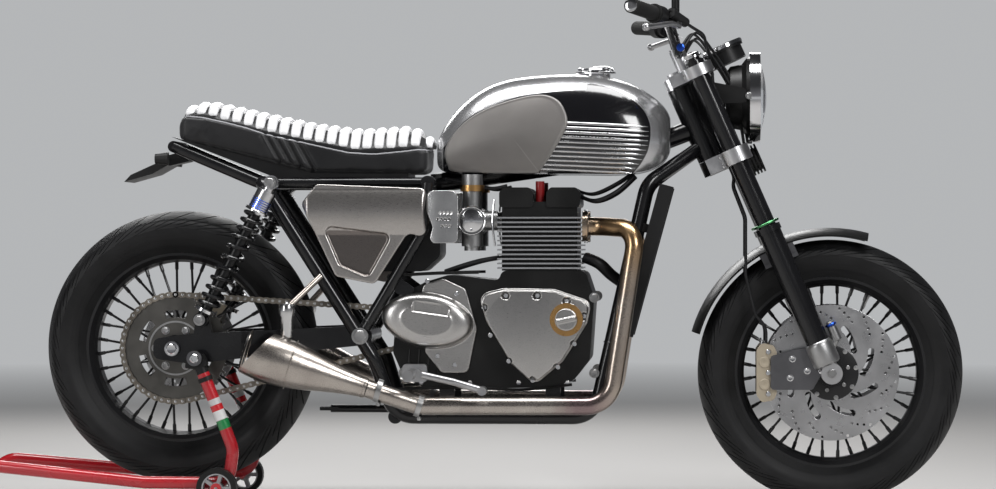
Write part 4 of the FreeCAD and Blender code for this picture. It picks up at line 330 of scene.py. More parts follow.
def circle_loop(a, b, radius, count=16):
    return [(a + radius * math.cos(turn * i / count), b + radius * math.sin(turn * i / count))
            for i in range(count)]


def arc_slot(radius, half_width, start, sweep_angle, lean):
    """A slot with round ends that follows an arc, as a loop of pairs; lean draws one end inwards."""
    outer, inner = [], []
    for index in range(slot_steps + 1):
        share = index / slot_steps
        angle = start + sweep_angle * share
        reach = radius + lean * (share - 0.5)
        outer.append(((reach + half_width) * math.cos(angle), (reach + half_width) * math.sin(angle)))
        inner.append(((reach - half_width) * math.cos(angle), (reach - half_width) * math.sin(angle)))
    tips = []
    for share, direction in ((1.0, 1), (0.0, -1)):
        angle = start + sweep_angle * share
        reach = radius + lean * (share - 0.5)
        middle = Vector((reach * math.cos(angle), reach * math.sin(angle), 0))
        out = Vector((math.cos(angle), math.sin(angle), 0))
        along = Vector((-math.sin(angle), math.cos(angle), 0)) * direction
        tips.append([(middle + out * (half_width * c) + along * (half_width * s))[:2]
                     for c, s in ((0.7, 0.7), (0.0, 1.0), (-0.7, 0.7))])
    return outer + tips[0] + list(reversed(inner)) + list(reversed(tips[1]))


def punched(name, loops, place):
    """A flat plate across the machine at a place. The first loop is its outline, the others holes."""
    data = bpy.data.curves.new(name, "CURVE")
    data.dimensions = "2D"
    data.fill_mode = "BOTH"
    data.extrude = (disc_thickness / 2 - disc_edge) * mm
    data.bevel_depth = disc_edge * mm
    data.bevel_resolution = 1
    data.offset = -disc_edge * mm
    for loop in loops:
        spline = data.splines.new("POLY")
        spline.points.add(len(loop) - 1)
        spline.use_cyclic_u = True
        for point, (a, b) in zip(spline.points, loop):
            point.co = (a * mm, b * mm, 0, 1)
    shape = bpy.data.objects.new(name, data)
    mesh = bpy.data.meshes.new_from_object(shape)
    bpy.data.objects.remove(shape)
    mesh.transform(Matrix.Translation(place) @ Matrix.Rotation(math.pi / 2, 4, "X"))
    obj = link(bpy.data.objects.new(name, mesh))
    mesh.shade_smooth()
    mesh.set_sharp_from_angle(angle=math.radians(35))
    return obj


def joined(name, pieces):
    """One object from several that share their material."""
    bm = bmesh.new()
    for piece in pieces:
        bm.from_mesh(piece.data)
        bpy.data.objects.remove(piece)
    return mesh_object(name, bm, math.radians(35))


def node_box(node):
    """The low and the high corner of a node of the frame."""
    return [Vector(corner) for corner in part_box(node)]


def mesh_surface(mesh):
    """A mesh's skin, to lay pieces on."""
    points = [vertex.co.copy() for vertex in mesh.vertices]
    return BVHTree.FromPolygons(points, [tuple(face.vertices) for face in mesh.polygons])


def node_surface(node):
    return mesh_surface(frame["nodes"][node].data)


def lay_on(surface, x, z, side):
    """Where a line from one side meets a skin, with the skin's outward direction there."""
    hit, normal, _, _ = surface.ray_cast(Vector((x, side * lay_reach * mm, z)), Vector((0, -side, 0)))
    if hit is None:
        return None, None
    if normal.y * side < 0:
        normal = -normal
    return hit, normal


def lay_near(surface, x, z, side):
    """The same, taking the first place above that does meet the skin."""
    for count in range(lay_tries):
        hit, normal = lay_on(surface, x, z + count * lay_step * mm, side)
        if hit is not None:
            return hit, normal
    raise ValueError("no skin there: " + str((x, z)))


# Materials

def add(tree, kind, settings=None, links=None):
    """A node of a kind, with its settings and the sockets that feed its inputs."""
    node = tree.nodes.new("ShaderNode" + kind)
    for key, value in (settings or {}).items():
        if hasattr(node, key):
            setattr(node, key, value)
        else:
            node.inputs[key].default_value = value
    for key, socket in (links or {}).items():
        tree.links.new(socket, node.inputs[key])
    return node


def rest_place(tree):
    """The point in the piece's own frame, so that a finish stays put when the piece moves."""
    return add(tree, "TexCoord").outputs["Object"]


def math_node(tree, operation, first, second=None, third=None):
    node = tree.nodes.new("ShaderNodeMath")
    node.operation = operation
    for index, value in enumerate((first, second, third)):
        if value is None:
            continue
        if isinstance(value, (int, float)):
            node.inputs[index].default_value = value
        else:
            tree.links.new(value, node.inputs[index])
    return node.outputs[0]


def drawn_place(tree):
    """The three drawn distances in millimetres: ahead of the rear axle, to the left and up."""
    split = add(tree, "SeparateXYZ", links={"Vector": rest_place(tree)})
    x, y, z = (math_node(tree, "DIVIDE", split.outputs[axis], mm) for axis in "XYZ")
    return math_node(tree, "SUBTRACT", x, rear_axle.x / mm), y, z


def vector_math(tree, operation, first, second=None, output="Vector"):
    """A sum of vectors: the first is a socket and the second, if any, is fixed."""
    node = add(tree, "VectorMath", {"operation": operation})
    tree.links.new(first, node.inputs[0])
    if second is not None:
        node.inputs[1].default_value = second
    return node.outputs[output]


def along_line(tree, origin, direction):
    """How far each point lies along a direction from an origin, in millimetres."""
    shifted = vector_math(tree, "SUBTRACT", rest_place(tree), origin)
    return math_node(tree, "DIVIDE", vector_math(tree, "DOT_PRODUCT", shifted, direction, "Value"), mm)


def out_from(tree, origin, axis):
    """How far each point lies from an axis through an origin, in millimetres."""
    shifted = vector_math(tree, "SUBTRACT", rest_place(tree), origin)
    crossed = vector_math(tree, "CROSS_PRODUCT", shifted, axis)
    return math_node(tree, "DIVIDE", vector_math(tree, "LENGTH", crossed, output="Value"), mm)


def blend_colour(tree, factor, low, high):
    """Low where the factor is 0 and high where it is 1. Each is a colour or a socket."""
    node = tree.nodes.new("ShaderNodeMix")
    node.data_type = "RGBA"
    tree.links.new(factor, node.inputs["Factor"])
    for key, value in (("A", low), ("B", high)):
        socket = [item for item in node.inputs if item.name == key and item.type == "RGBA"][0]
        if isinstance(value, bpy.types.NodeSocket):
            tree.links.new(value, socket)
        else:
            socket.default_value = (*value, 1)
    return [item for item in node.outputs if item.type == "RGBA"][0]


def blend_value(tree, factor, low, high):
    """The same for numbers."""
    spread = math_node(tree, "SUBTRACT", high, low)
    return math_node(tree, "MULTIPLY_ADD", factor, spread, low)


def remap(tree, value, low, high, new_low=0.0, new_high=1.0):
    """A number spread from one range over another, 0 to 1 if none is given."""
    node = tree.nodes.new("ShaderNodeMapRange")
    node.clamp = True
    tree.links.new(value, node.inputs["Value"])
    for key, number in (("From Min", low), ("From Max", high), ("To Min", new_low), ("To Max", new_high)):
        node.inputs[key].default_value = number
    return node.outputs["Result"]


def inside(tree, value, low, high, soft=1.0):
    """1 between two numbers and 0 outside them, with soft edges."""
    rise = remap(tree, value, low - soft, low + soft)
    fall = remap(tree, value, high - soft, high + soft, 1.0, 0.0)
    return math_node(tree, "MULTIPLY", rise, fall)


def grain(tree, scale, strength, depth, detail=3.0):
    """Fine relief over the whole piece: its scale, its strength and its depth in millimetres."""
    return bump(tree, noise(tree, rest_place(tree), scale, detail), strength, depth * mm)


def uneven(tree, cloud, low, high):
    """A number that wanders between two values with a soft cloud."""
    return remap(tree, cloud, 0.3, 0.7, low, high)


def drawn_curve(tree, value, pairs):
    """The second number of each pair as a smooth function of the first, given by drawn points."""
    xs = [pair[0] for pair in pairs]
    ys = [pair[1] for pair in pairs]
    low, high = min(ys), max(ys)
    share = remap(tree, value, xs[0], xs[-1])
    node = tree.nodes.new("ShaderNodeFloatCurve")
    curve = node.mapping.curves[0]
    marks = [((x - xs[0]) / (xs[-1] - xs[0]), (y - low) / (high - low)) for x, y in pairs]
    curve.points[0].location = marks[0]
    curve.points[1].location = marks[-1]
    for mark in marks[1:-1]:
        curve.points.new(*mark)
    node.mapping.update()
    tree.links.new(share, node.inputs["Value"])
    return remap(tree, node.outputs[0], 0.0, 1.0, low, high)


def stretched(tree, place, scale):
    node = add(tree, "Mapping", links={"Vector": place})
    node.inputs["Scale"].default_value = scale
    return node.outputs["Vector"]


def noise(tree, place, scale, detail=3.0):
    node = add(tree, "TexNoise", links={"Vector": place})
    node.inputs["Scale"].default_value = scale
    node.inputs["Detail"].default_value = detail
    return node.outputs["Fac"]


def bump(tree, height, strength, distance, below=None):
    node = add(tree, "Bump", links={"Height": height})
    node.inputs["Strength"].default_value = strength
    node.inputs["Distance"].default_value = distance
    if below is not None:
        tree.links.new(below, node.inputs["Normal"])
    return node.outputs["Normal"]


finishes = {}
# Finishes darker than the limit mirror less, so that blacks stay black
dark_limit = 0.02
dark_gloss = 0.28


def new_material(name, colour, metallic=0.0, coat=0.0):
    """The tree and shader of a new finish, which is kept under its name."""
    finishes[name] = material = bpy.data.materials.new(name)
    material.use_nodes = True
    shader = material.node_tree.nodes["Principled BSDF"]
    shader.inputs["Base Color"].default_value = (*colour, 1)
    shader.inputs["Metallic"].default_value = metallic
    shader.inputs["Coat Weight"].default_value = coat
    shader.inputs["Coat Roughness"].default_value = 0.05
    if max(colour) < dark_limit:
        shader.inputs["Specular IOR Level"].default_value = dark_gloss
    return material.node_tree, shader


def feed(tree, shader, **sockets):
    for key, socket in sockets.items():
        tree.links.new(socket, shader.inputs[key.replace("_", " ")])


def painted_edge_highlight(tree):
    """1 along outward edges, where a painted highlight lightens the corners."""
    return remap(tree, add(tree, "NewGeometry").outputs["Pointiness"], 0.52, 0.6)


def paint(name, colour, roughness, coat=0.0, pimples=220.0, dimple=0.04):
    """Paint or powder coat: slight orange peel, uneven gloss and a little dust."""
    tree, shader = new_material(name, colour, coat=coat)
    place = rest_place(tree)
    cloud = noise(tree, place, 9.0)
    dusty = tuple(channel * 0.8 + 0.008 for channel in colour)
    tone = blend_colour(tree, remap(tree, cloud, 0.35, 0.75), colour, dusty)
    feed(tree, shader, Base_Color=tone,
         Roughness=uneven(tree, cloud, roughness * 0.85, roughness * 1.2),
         Normal=grain(tree, pimples, dimple, 0.3))


def metal(name, colour, roughness, brush=(1.0, 1.0, 1.0), brush_scale=40.0, depth=0.05, dark=0.8):
    """Bare metal. Unequal brush numbers stretch its grain into brush lines."""
    tree, shader = new_material(name, colour, metallic=1.0)
    place = rest_place(tree)
    lines = noise(tree, stretched(tree, place, brush), brush_scale, 4.0)
    cloud = noise(tree, place, 11.0)
    darker = tuple(channel * dark for channel in colour)
    feed(tree, shader,
         Base_Color=blend_colour(tree, uneven(tree, cloud, 0.0, 1.0), colour, darker),
         Roughness=remap(tree, lines, 0.25, 0.75, roughness * 0.8, roughness * 1.25),
         Normal=bump(tree, lines, depth, 0.2 * mm))


def rubber(name, colour, roughness, pores, depth):
    tree, shader = new_material(name, colour)
    place = rest_place(tree)
    cloud = noise(tree, place, 14.0)
    worn = tuple(channel * 1.5 + 0.003 for channel in colour)
    feed(tree, shader,
         Base_Color=blend_colour(tree, remap(tree, cloud, 0.4, 0.75), colour, worn),
         Roughness=remap(tree, cloud, 0.3, 0.7, roughness * 0.9, min(1.0, roughness * 1.15)),
         Normal=grain(tree, pores, depth, 0.4, 6.0))


# Few lines along the machine and many across it, so that the brushing runs lengthways
brush_along = (3.0, 60.0, 60.0)
paint("frame_black", (0.005, 0.005, 0.006), 0.24, coat=0.3)
paint("wheel_black", (0.010, 0.010, 0.011), 0.34, coat=0.15)
paint("fender_black", (0.003, 0.003, 0.003), 0.34)
paint("engine_black", (0.006, 0.006, 0.006), 0.36, pimples=420.0, dimple=0.12)
paint("plastic_black", (0.006, 0.006, 0.0065), 0.42, pimples=600.0, dimple=0.2)
paint("caliper_gold", (0.42, 0.36, 0.27), 0.4, pimples=500.0, dimple=0.1)
paint("plug_red", (0.30, 0.010, 0.012), 0.3)
paint("bulb_glass", (0.75, 0.66, 0.45), 0.15)
metal("blue_anodised", (0.03, 0.10, 0.55), 0.25)
metal("green_anodised", (0.10, 0.32, 0.14), 0.3)
metal("alloy", (0.52, 0.52, 0.53), 0.34, depth=0.1, brush_scale=120.0, dark=0.65)
metal("brushed_alloy", (0.46, 0.45, 0.44), 0.36, brush=brush_along, dark=0.75)
metal("polished_alloy", (0.82, 0.82, 0.83), 0.13, depth=0.02)
metal("zinc_steel", (0.50, 0.50, 0.50), 0.32, dark=0.6)
metal("disc_steel", (0.56, 0.56, 0.57), 0.30, dark=0.7)
metal("sprocket_steel", (0.15, 0.145, 0.135), 0.38, dark=0.6)
metal("chain_steel", (0.30, 0.27, 0.23), 0.42, dark=0.4)
metal("chrome", (0.84, 0.84, 0.85), 0.11, depth=0.01)
metal("brass", (0.62, 0.36, 0.14), 0.28)
metal("cover_satin", (0.50, 0.49, 0.48), 0.30, brush=brush_along, dark=0.93)
metal("polished_satin", (0.66, 0.66, 0.66), 0.22, depth=0.04)
metal("cast_alloy", (0.44, 0.44, 0.44), 0.38, depth=0.25, brush_scale=260.0, dark=0.6)
metal("rib_silver", (0.62, 0.62, 0.63), 0.24, depth=0.03)
metal("bracket_grey", (0.17, 0.17, 0.18), 0.38, depth=0.1, brush_scale=120.0)
rubber("tyre_rubber", (0.006, 0.006, 0.0065), 0.52, 300.0, 0.25)
rubber("grip_rubber", (0.010, 0.010, 0.010), 0.7, 260.0, 0.3)
rubber("hose_rubber", (0.010, 0.010, 0.011), 0.45, 700.0, 0.4)


def leather(name, colour, roughness):
    """Grained hide: fine pebbles over broad soft creases, with a slight sheen."""
    tree, shader = new_material(name, colour)
    shader.inputs["Sheen Weight"].default_value = 0.15
    place = rest_place(tree)
    pebble = add(tree, "TexVoronoi", {"Scale": 900.0}, {"Vector": place}).outputs["Distance"]
    crease = noise(tree, place, 26.0, 4.0)
    cloud = noise(tree, place, 9.0)
    scuffed = tuple(channel * 1.25 + 0.004 for channel in colour)
    feed(tree, shader,
         Base_Color=blend_colour(tree, remap(tree, cloud, 0.45, 0.8), colour, scuffed),
         Roughness=uneven(tree, cloud, roughness * 0.85, roughness * 1.2),
         Normal=bump(tree, pebble, 0.18, 0.3 * mm, bump(tree, crease, 0.22, 1.2 * mm)))


leather("seat_leather", (0.010, 0.010, 0.011), 0.38)
leather("seat_white", (0.60, 0.60, 0.61), 0.36)
leather("piping_grey", (0.35, 0.35, 0.37), 0.3)


# Distance along the tank and height of the black panel's edges
panel_top = ((600, 800), (623, 826), (647, 858), (679, 883), (721, 902), (776, 921), (840, 931), (905, 937),
             (931, 939))
panel_top_ahead = ((932, 951), (962, 948), (1001, 936), (1033, 917), (1059, 894), (1072, 871), (1080, 845))
panel_front = ((738, 1024), (747, 1034), (784, 1063), (813, 1074), (849, 1077), (871, 1072), (894, 1060))
panel_step_x = 932.0
panel_back = 606.0


def tank_paint():
    """Silver lacquer with a fine flake, round a black panel whose edges are drawn by curves."""
    tree, shader = new_material("tank_silver", (0.5, 0.5, 0.5), coat=0.6)
    x, _, z = drawn_place(tree)
    place = rest_place(tree)
    behind = drawn_curve(tree, x, panel_top)
    ahead = drawn_curve(tree, x, panel_top_ahead)
    past = remap(tree, x, panel_step_x - 0.5, panel_step_x + 0.5)
    top_line = blend_value(tree, past, behind, ahead)
    under = remap(tree, math_node(tree, "SUBTRACT", top_line, z), -0.8, 0.8)
    front_line = drawn_curve(tree, z, panel_front)
    short = remap(tree, math_node(tree, "SUBTRACT", front_line, x), -0.8, 0.8)
    start = remap(tree, x, panel_back - 2.0, panel_back + 2.0)
    black = math_node(tree, "MULTIPLY", math_node(tree, "MULTIPLY", under, short), start)
    flake = noise(tree, place, 2600.0, 2.0)
    cloud = noise(tree, place, 7.0)
    sparkle = remap(tree, flake, 0.35, 0.65)
    silver = blend_colour(tree, sparkle, (0.50, 0.50, 0.51), (0.64, 0.64, 0.65))
    feed(tree, shader,
         Base_Color=blend_colour(tree, black, silver, (0.006, 0.006, 0.007)),
         Metallic=blend_value(tree, black, 0.85, 0.0),
         Roughness=blend_value(tree, black, uneven(tree, cloud, 0.20, 0.27), 0.14),
         Normal=bump(tree, flake, 0.03, 0.1 * mm))


# Where the exhaust takes on colour: straw ahead of the engine, blue in the lowest bend
straw_span = (930.0, 1200.0)
straw_rise = (480.0, 600.0)
low_bend_span = (880.0, 975.0)
low_bend_rise = (260.0, 330.0)


def heated_steel():
    """Brushed stainless that turns straw and blue where the pipe runs hottest."""
    tree, shader = new_material("stainless", (0.5, 0.5, 0.5), metallic=1.0)
    x, _, z = drawn_place(tree)
    place = rest_place(tree)
    cloud = noise(tree, place, 16.0, 4.0)
    wander = math_node(tree, "MULTIPLY_ADD", cloud, 60.0, -30.0)
    near_x = math_node(tree, "ADD", x, wander)
    near_z = math_node(tree, "ADD", z, wander)
    straw = math_node(tree, "MULTIPLY", inside(tree, near_x, *straw_span, 40.0),
                      remap(tree, near_z, *straw_rise, 0.15, 1.0))
    low_bend = math_node(tree, "MULTIPLY", inside(tree, near_x, *low_bend_span, 26.0),
                         remap(tree, near_z, *low_bend_rise, 1.0, 0.0))
    base = blend_colour(tree, uneven(tree, cloud, 0.0, 1.0), (0.48, 0.44, 0.40), (0.38, 0.34, 0.31))
    warm = blend_colour(tree, straw, base, (0.52, 0.34, 0.18))
    blued = blend_colour(tree, low_bend, warm, (0.27, 0.20, 0.20))
    lines = noise(tree, stretched(tree, place, brush_along), 44.0, 4.0)
    feed(tree, shader, Base_Color=blued, Roughness=remap(tree, lines, 0.25, 0.75, 0.20, 0.34),
         Normal=bump(tree, lines, 0.05, 0.2 * mm))


def finned_black():
    """A satin black barrel whose fins have bright machined edges."""
    tree, shader = new_material("barrel_fins", (0.012, 0.012, 0.012))
    x, y, z = drawn_place(tree)
    place = rest_place(tree)
    rear, front, side = barrel_faces
    beside = remap(tree, math_node(tree, "ABSOLUTE", y), side, side + 0.6)
    behind = remap(tree, x, rear - 0.6, rear, 1.0, 0.0)
    ahead = remap(tree, x, front, front + 0.6)
    outside = math_node(tree, "MAXIMUM", beside, math_node(tree, "MAXIMUM", behind, ahead))
    cloud = noise(tree, place, 30.0)
    finned = inside(tree, z, fin_first, fin_first + fin_count * fin_pitch, 0.5)
    bright = math_node(tree, "MULTIPLY", outside, finned)
    feed(tree, shader,
         Base_Color=blend_colour(tree, bright, (0.005, 0.005, 0.005), (0.74, 0.74, 0.75)),
         Metallic=bright,
         Roughness=blend_value(tree, bright, uneven(tree, cloud, 0.38, 0.5), 0.22),
         Normal=grain(tree, 420.0, 0.1, 0.3))


# Where the fork's alloy foot ends along the leg
fork_foot_top = 40.0


def fork_finish():
    """Gloss black legs with a bare alloy foot."""
    tree, shader = new_material("fork_black", (0.008, 0.008, 0.009), coat=0.3)
    rise = along_line(tree, front_axle, steer_up)
    place = rest_place(tree)
    foot = remap(tree, rise, fork_foot_top - 0.5, fork_foot_top + 0.5, 1.0, 0.0)
    cloud = noise(tree, place, 12.0)
    tone = blend_colour(tree, foot, (0.008, 0.008, 0.009), (0.55, 0.55, 0.56))
    feed(tree, shader, Base_Color=tone, Metallic=foot,
         Roughness=blend_value(tree, foot, uneven(tree, cloud, 0.16, 0.24), 0.35),
         Normal=grain(tree, 300.0, 0.04, 0.2))


# The stand's arms, and the bands round them: from, to, and colour, measured down the arm from its top
stand_arm_origin = at(75.0, 0.0, 300.0)
stand_arm_line = (at(123.0, 0.0, 182.0) - at(75.0, 0.0, 300.0)).normalized()
stand_arm_low = 150.0
stand_arm_back = 40.0
stand_bands = ((62.0, 76.0, (0.55, 0.55, 0.55)), (76.0, 90.0, (0.55, 0.014, 0.02)),
               (90.0, 112.0, (0.72, 0.72, 0.72)), (112.0, 134.0, (0.01, 0.22, 0.06)))


def stand_paint():
    """Gloss red tube with plain bands round its arms."""
    tree, shader = new_material("stand_red", (0.45, 0.010, 0.018), coat=0.6)
    down = along_line(tree, stand_arm_origin, stand_arm_line)
    place = rest_place(tree)
    x, _, z = drawn_place(tree)
    arm = math_node(tree, "MULTIPLY", remap(tree, z, stand_arm_low, stand_arm_low + 1.0),
                    remap(tree, x, stand_arm_back, stand_arm_back + 1.0))
    cloud = noise(tree, place, 9.0)
    faded = remap(tree, cloud, 0.35, 0.75)
    tone = blend_colour(tree, faded, (0.48, 0.008, 0.016), (0.40, 0.014, 0.022))
    for low, high, colour in stand_bands:
        band = math_node(tree, "MULTIPLY", inside(tree, down, low, high, 0.4), arm)
        tone = blend_colour(tree, band, tone, colour)
    feed(tree, shader, Base_Color=tone, Roughness=uneven(tree, cloud, 0.22, 0.32),
         Normal=grain(tree, 220.0, 0.05, 0.3))


def clear_glass():
    tree, shader = new_material("lamp_glass", (0.95, 0.97, 1.0))
    shader.inputs["Transmission Weight"].default_value = 1.0
    shader.inputs["IOR"].default_value = 1.46
    shader.inputs["Roughness"].default_value = 0.02
    feed(tree, shader, Normal=grain(tree, 30.0, 0.05, 1.0))


def smoked_plastic():
    tree, shader = new_material("reservoir_smoke", (0.16, 0.13, 0.10))
    shader.inputs["Transmission Weight"].default_value = 0.6
    feed(tree, shader, Roughness=remap(tree, noise(tree, rest_place(tree), 60.0), 0.3, 0.7, 0.12, 0.25))


# The finned barrel: number and pitch of its fins, the height of the lowest, and its rear, front and side face
fin_count = 12
fin_pitch = 10.3
fin_first = 530.0
barrel_faces = (736.0, 918.0, 124.0)


# Nodes whose finish isn't the one named like their slot
node_looks = {
    "barrel": "barrel_fins", "shock_bodies": "shock_body", "throttle_bodies": "cast_alloy",
    "fork_brackets": "bracket_grey", "yokes": "yoke_alloy", "rear_axle": "bracket_grey",
    "stand_wheel_right": "stand_wheel", "stand_wheel_left": "stand_wheel",
}


def finish_nodes():
    """Every node of the frame takes the finish of its slot, and some a finish of their own."""
    for part in frame["record"]["subparts"]:
        node = part["node"]
        put_on(frame["nodes"][node], node_looks.get(node, part["material_slot"]))


# Tyres, discs and wheels

rim_seat = 216.0
rim_flange = 225.0
tyre_sizes = {"front": (300.0, 120.0, 34), "rear": (312.0, 160.0, 36)}
crown_steps = 10
wall_steps = 14
wall_ridges = ((234.0, 1.0), (239.0, 0.7))
wall_ridge_width = 1.3
sipe_half_share = 0.045
sipe_depth = 4.5
sipe_end_share = 0.04
# Start in the pitch, side, and how far across the tread each sipe begins and ends
sipe_marks = ((0.12, 1, 0.10, 0.80), (0.37, -1, 0.10, 0.80), (0.62, 1, 0.46, 0.97), (0.87, -1, 0.46, 0.97))
sipe_sweep = 2.3
sipe_curve = 1.35


def tyre_half(radius, width):
    """Points from the middle of the tread to the bead: radius, side distance and share of the tread."""
    half = width / 2
    wall = radius - rim_flange
    bulge = rim_flange + wall * 0.55
    shoulder = rim_flange + wall * 0.78
    crown = flat_run([(bulge, -half), (shoulder, -half * 0.83), (radius, 0.0), (shoulder, half * 0.83),
                      (bulge, half)], crown_steps)[2 * crown_steps:]
    points = [(out, side, index / (len(crown) - 1)) for index, (out, side) in enumerate(crown)]
    low = flat_run([(bulge, half), ((rim_flange + bulge) / 2, half * 0.93), (rim_seat, half * 0.62)],
                   wall_steps)
    for out, side in low[1:]:
        proud = sum(height * math.exp(-((out - place) / wall_ridge_width) ** 2)
                    for place, height in wall_ridges)
        points.append((out, side + proud, 1.0))
    return points


def tyre_columns(radius, width):
    """The whole section: radius, side, share across the tread, and the outward direction there."""
    half = tyre_half(radius, width)
    run = [(out, -side, share) for out, side, share in reversed(half[1:])] + half
    columns = []
    for index, (out, side, share) in enumerate(run):
        before, after = run[max(index - 1, 0)], run[min(index + 1, len(run) - 1)]
        along = Vector((after[0] - before[0], after[1] - before[1]))
        along.normalize()
        columns.append((out, side, share, along.y, -along.x))
    return columns


def make_tyre(end, axle):
    """A tyre whose tread has curved sipes cut into it, on grid lines that run along them."""
    radius, width, pitches = tyre_sizes[end]
    columns = tyre_columns(radius, width)
    lines = []
    for pitch in range(pitches):
        for start, hand, low, high in sipe_marks:
            for shift, deep in ((-1.0, 0), (-0.45, 1), (0.45, 1), (1.0, 0)):
                angle = turn * (pitch + start + shift * sipe_half_share) / pitches
                lines.append((angle, deep * hand, low, high))
    bm = bmesh.new()
    grid = []
    for angle, hand, low, high in lines:
        row = []
        for out, side, share, out_part, side_part in columns:
            depth = 0.0
            if hand and side * hand > 0:
                depth = sipe_depth * limited((share - low) / sipe_end_share) \
                    * limited((high - share) / sipe_end_share)
            swept = angle + turn / pitches * sipe_sweep * share ** sipe_curve
            place = axle + around(swept, out - out_part * depth) + aside(side - side_part * depth)
            row.append(bm.verts.new(place))
        grid.append(row)
    skin(bm, grid, True)
    piece = make_piece(end + "_tyre_tread", bm, "tyre_rubber", end + "_wheel", smooth_angle=math.radians(38))
    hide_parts(end + "_tyre")


disc_side = 66.0
disc_thickness = 4.5
disc_outer = 153.0
disc_web = 118.0
disc_bore = 56.0
disc_sectors = 16
disc_swirls = 8
disc_edge = 0.4
disc_hole_rows = 4
disc_hole_radius = 3.0
disc_hole_step = 0.22
disc_bolt_circle = 40.0
rear_disc_side = 100.0
# Outer, web and bore radius, sectors of holes and swirls of windows
front_disc_form = (disc_outer, disc_web, disc_bore, disc_sectors, disc_swirls)
rear_disc_form = (110.0, 80.0, 46.0, 12, 6)
rear_disc_bolt_circle = 36.0


def disc_loops(outer, web, bore, sectors, swirls):
    """A drilled ring round a web with long curved windows."""
    loops = [circle_loop(0, 0, outer, 128), circle_loop(0, 0, bore, 96)]
    wide = outer - web
    for sector in range(sectors):
        start = turn * sector / sectors
        for row in range(disc_hole_rows):
            angle = start + row * turn * disc_hole_step / sectors
            reach = web + wide * (0.14 + disc_hole_step * row)
            loops.append(circle_loop(reach * math.cos(angle), reach * math.sin(angle), disc_hole_radius, 14))
    depth = web - bore
    for swirl in range(swirls):
        start = turn * swirl / swirls
        loops.append(arc_slot(bore + depth * 0.5, depth * 0.13, start, 3.9 / swirls, depth * 0.5))
    return loops


def make_front_discs():
    """Twin drilled discs with windows, on black hubs, with a ring of floating buttons."""
    plates, hubs, buttons = [], bmesh.new(), bmesh.new()
    for side in sides:
        place = front_axle + aside(side * disc_side)
        plates.append(punched("disc", disc_loops(*front_disc_form), place))
        hoop(hubs, place, across, hub_plate_steps)
        for index in range(disc_swirls):
            centre = place + around(turn * index / disc_swirls + 0.2, disc_bore + 1.0)
            lathe(buttons, centre, across, button_steps, 16)
        for bolt in range(6):
            centre = place + around(turn * bolt / 6 + 0.3, disc_bolt_circle) + aside(side * 3.0)
            socket_bolt(buttons, centre, across * side, 4.6, 3.0)
    ring = dress(joined("front_disc_rings", plates), "disc_steel", "front_wheel")
    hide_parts("front_discs")
    make_piece("front_disc_hubs", hubs, "wheel_black", "front_wheel")
    make_piece("front_disc_buttons", buttons, "zinc_steel", "front_wheel")


def make_rear_disc():
    """The rear disc on its black hub, with its bolts."""
    place = rear_axle + aside(rear_disc_side)
    plate = punched("rear_disc_ring", disc_loops(*rear_disc_form), place)
    hub = bmesh.new()
    hoop(hub, place, across, rear_hub_plate_steps)
    ring = dress(plate, "disc_steel", "rear_wheel")
    make_piece("rear_disc_hub", hub, "wheel_black", "rear_wheel")
    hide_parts("rear_disc")
    bolts = bmesh.new()
    for bolt in range(5):
        centre = place + around(turn * bolt / 5 + 0.3, rear_disc_bolt_circle) + aside(3.0)
        socket_bolt(bolts, centre, across, 5.0, 4.0)
    make_piece("rear_disc_bolts", bolts, "zinc_steel", "rear_wheel")


def make_rim_details(end, axle, lean):
    """A valve with its cap, on the inner side of the rim."""
    bm = bmesh.new()
    inward = -around(lean, 1 / mm)
    foot = axle + around(lean, valve_foot)
    lathe(bm, foot, inward, valve_steps, 16)
    make_piece(end + "_valve", bm, "zinc_steel", end + "_wheel")


valve_lean = 1.1
valve_foot = 196.0
spoke_pairs = 18
spoke_sweep = math.radians(26.0)
spoke_spread_share = 0.25
spoke_ends = ((38.0, 42.0), (198.0, 14.0))
spoke_radii = (3.4, 2.9, 2.9, 4.2, 4.2)
spoke_shares = (0.0, 0.06, 0.87, 0.89, 1.0)


def make_spokes(end, axle):
    """Butted spokes with their nipples, laced in crossing pairs."""
    bm = bmesh.new()
    (hub_reach, hub_side), (rim_reach, rim_side) = spoke_ends
    for index in range(spoke_pairs):
        for lean in sides:
            side = 1 if (index + (lean > 0)) % 2 else -1
            angle = turn * (index + spoke_spread_share * lean) / spoke_pairs
            start = axle + around(angle - lean * spoke_sweep, hub_reach) + aside(side * hub_side)
            finish = axle + around(angle, rim_reach) + aside(side * rim_side)
            points = [start + (finish - start) * share for share in spoke_shares]
            sweep(bm, points, spoke_radii, 8)
    make_piece(end + "_spokes", bm, "wheel_black", end + "_wheel")


def dress_wheels():
    for end, axle in (("front", front_axle), ("rear", rear_axle)):
        make_tyre(end, axle)
        make_spokes(end, axle)
        make_rim_details(end, axle, valve_lean)
    make_front_discs()
    make_rear_disc()


# Chain and rear sprocket

chain_line = -105.0
chain_pitch = 15.875
rear_teeth = 48
front_teeth = 17
front_sprocket = at(505.0, 0, 400.0)
link_end = 7.2
link_waist = 5.2
link_round = 1.9
link_round_points = 7
link_edge_share = 0.93
chain_inner_plate = (4.6, 6.2)
chain_outer_plate = (6.5, 8.1)
chain_roller = 5.0
chain_roller_half = 4.2
sprocket_face = chain_line - 3.5
sprocket_bolt_circle = 46.0


def chain_radius(teeth):
    """How far out the pins lie on a sprocket."""
    return chain_pitch / 2 / math.sin(math.pi / teeth)


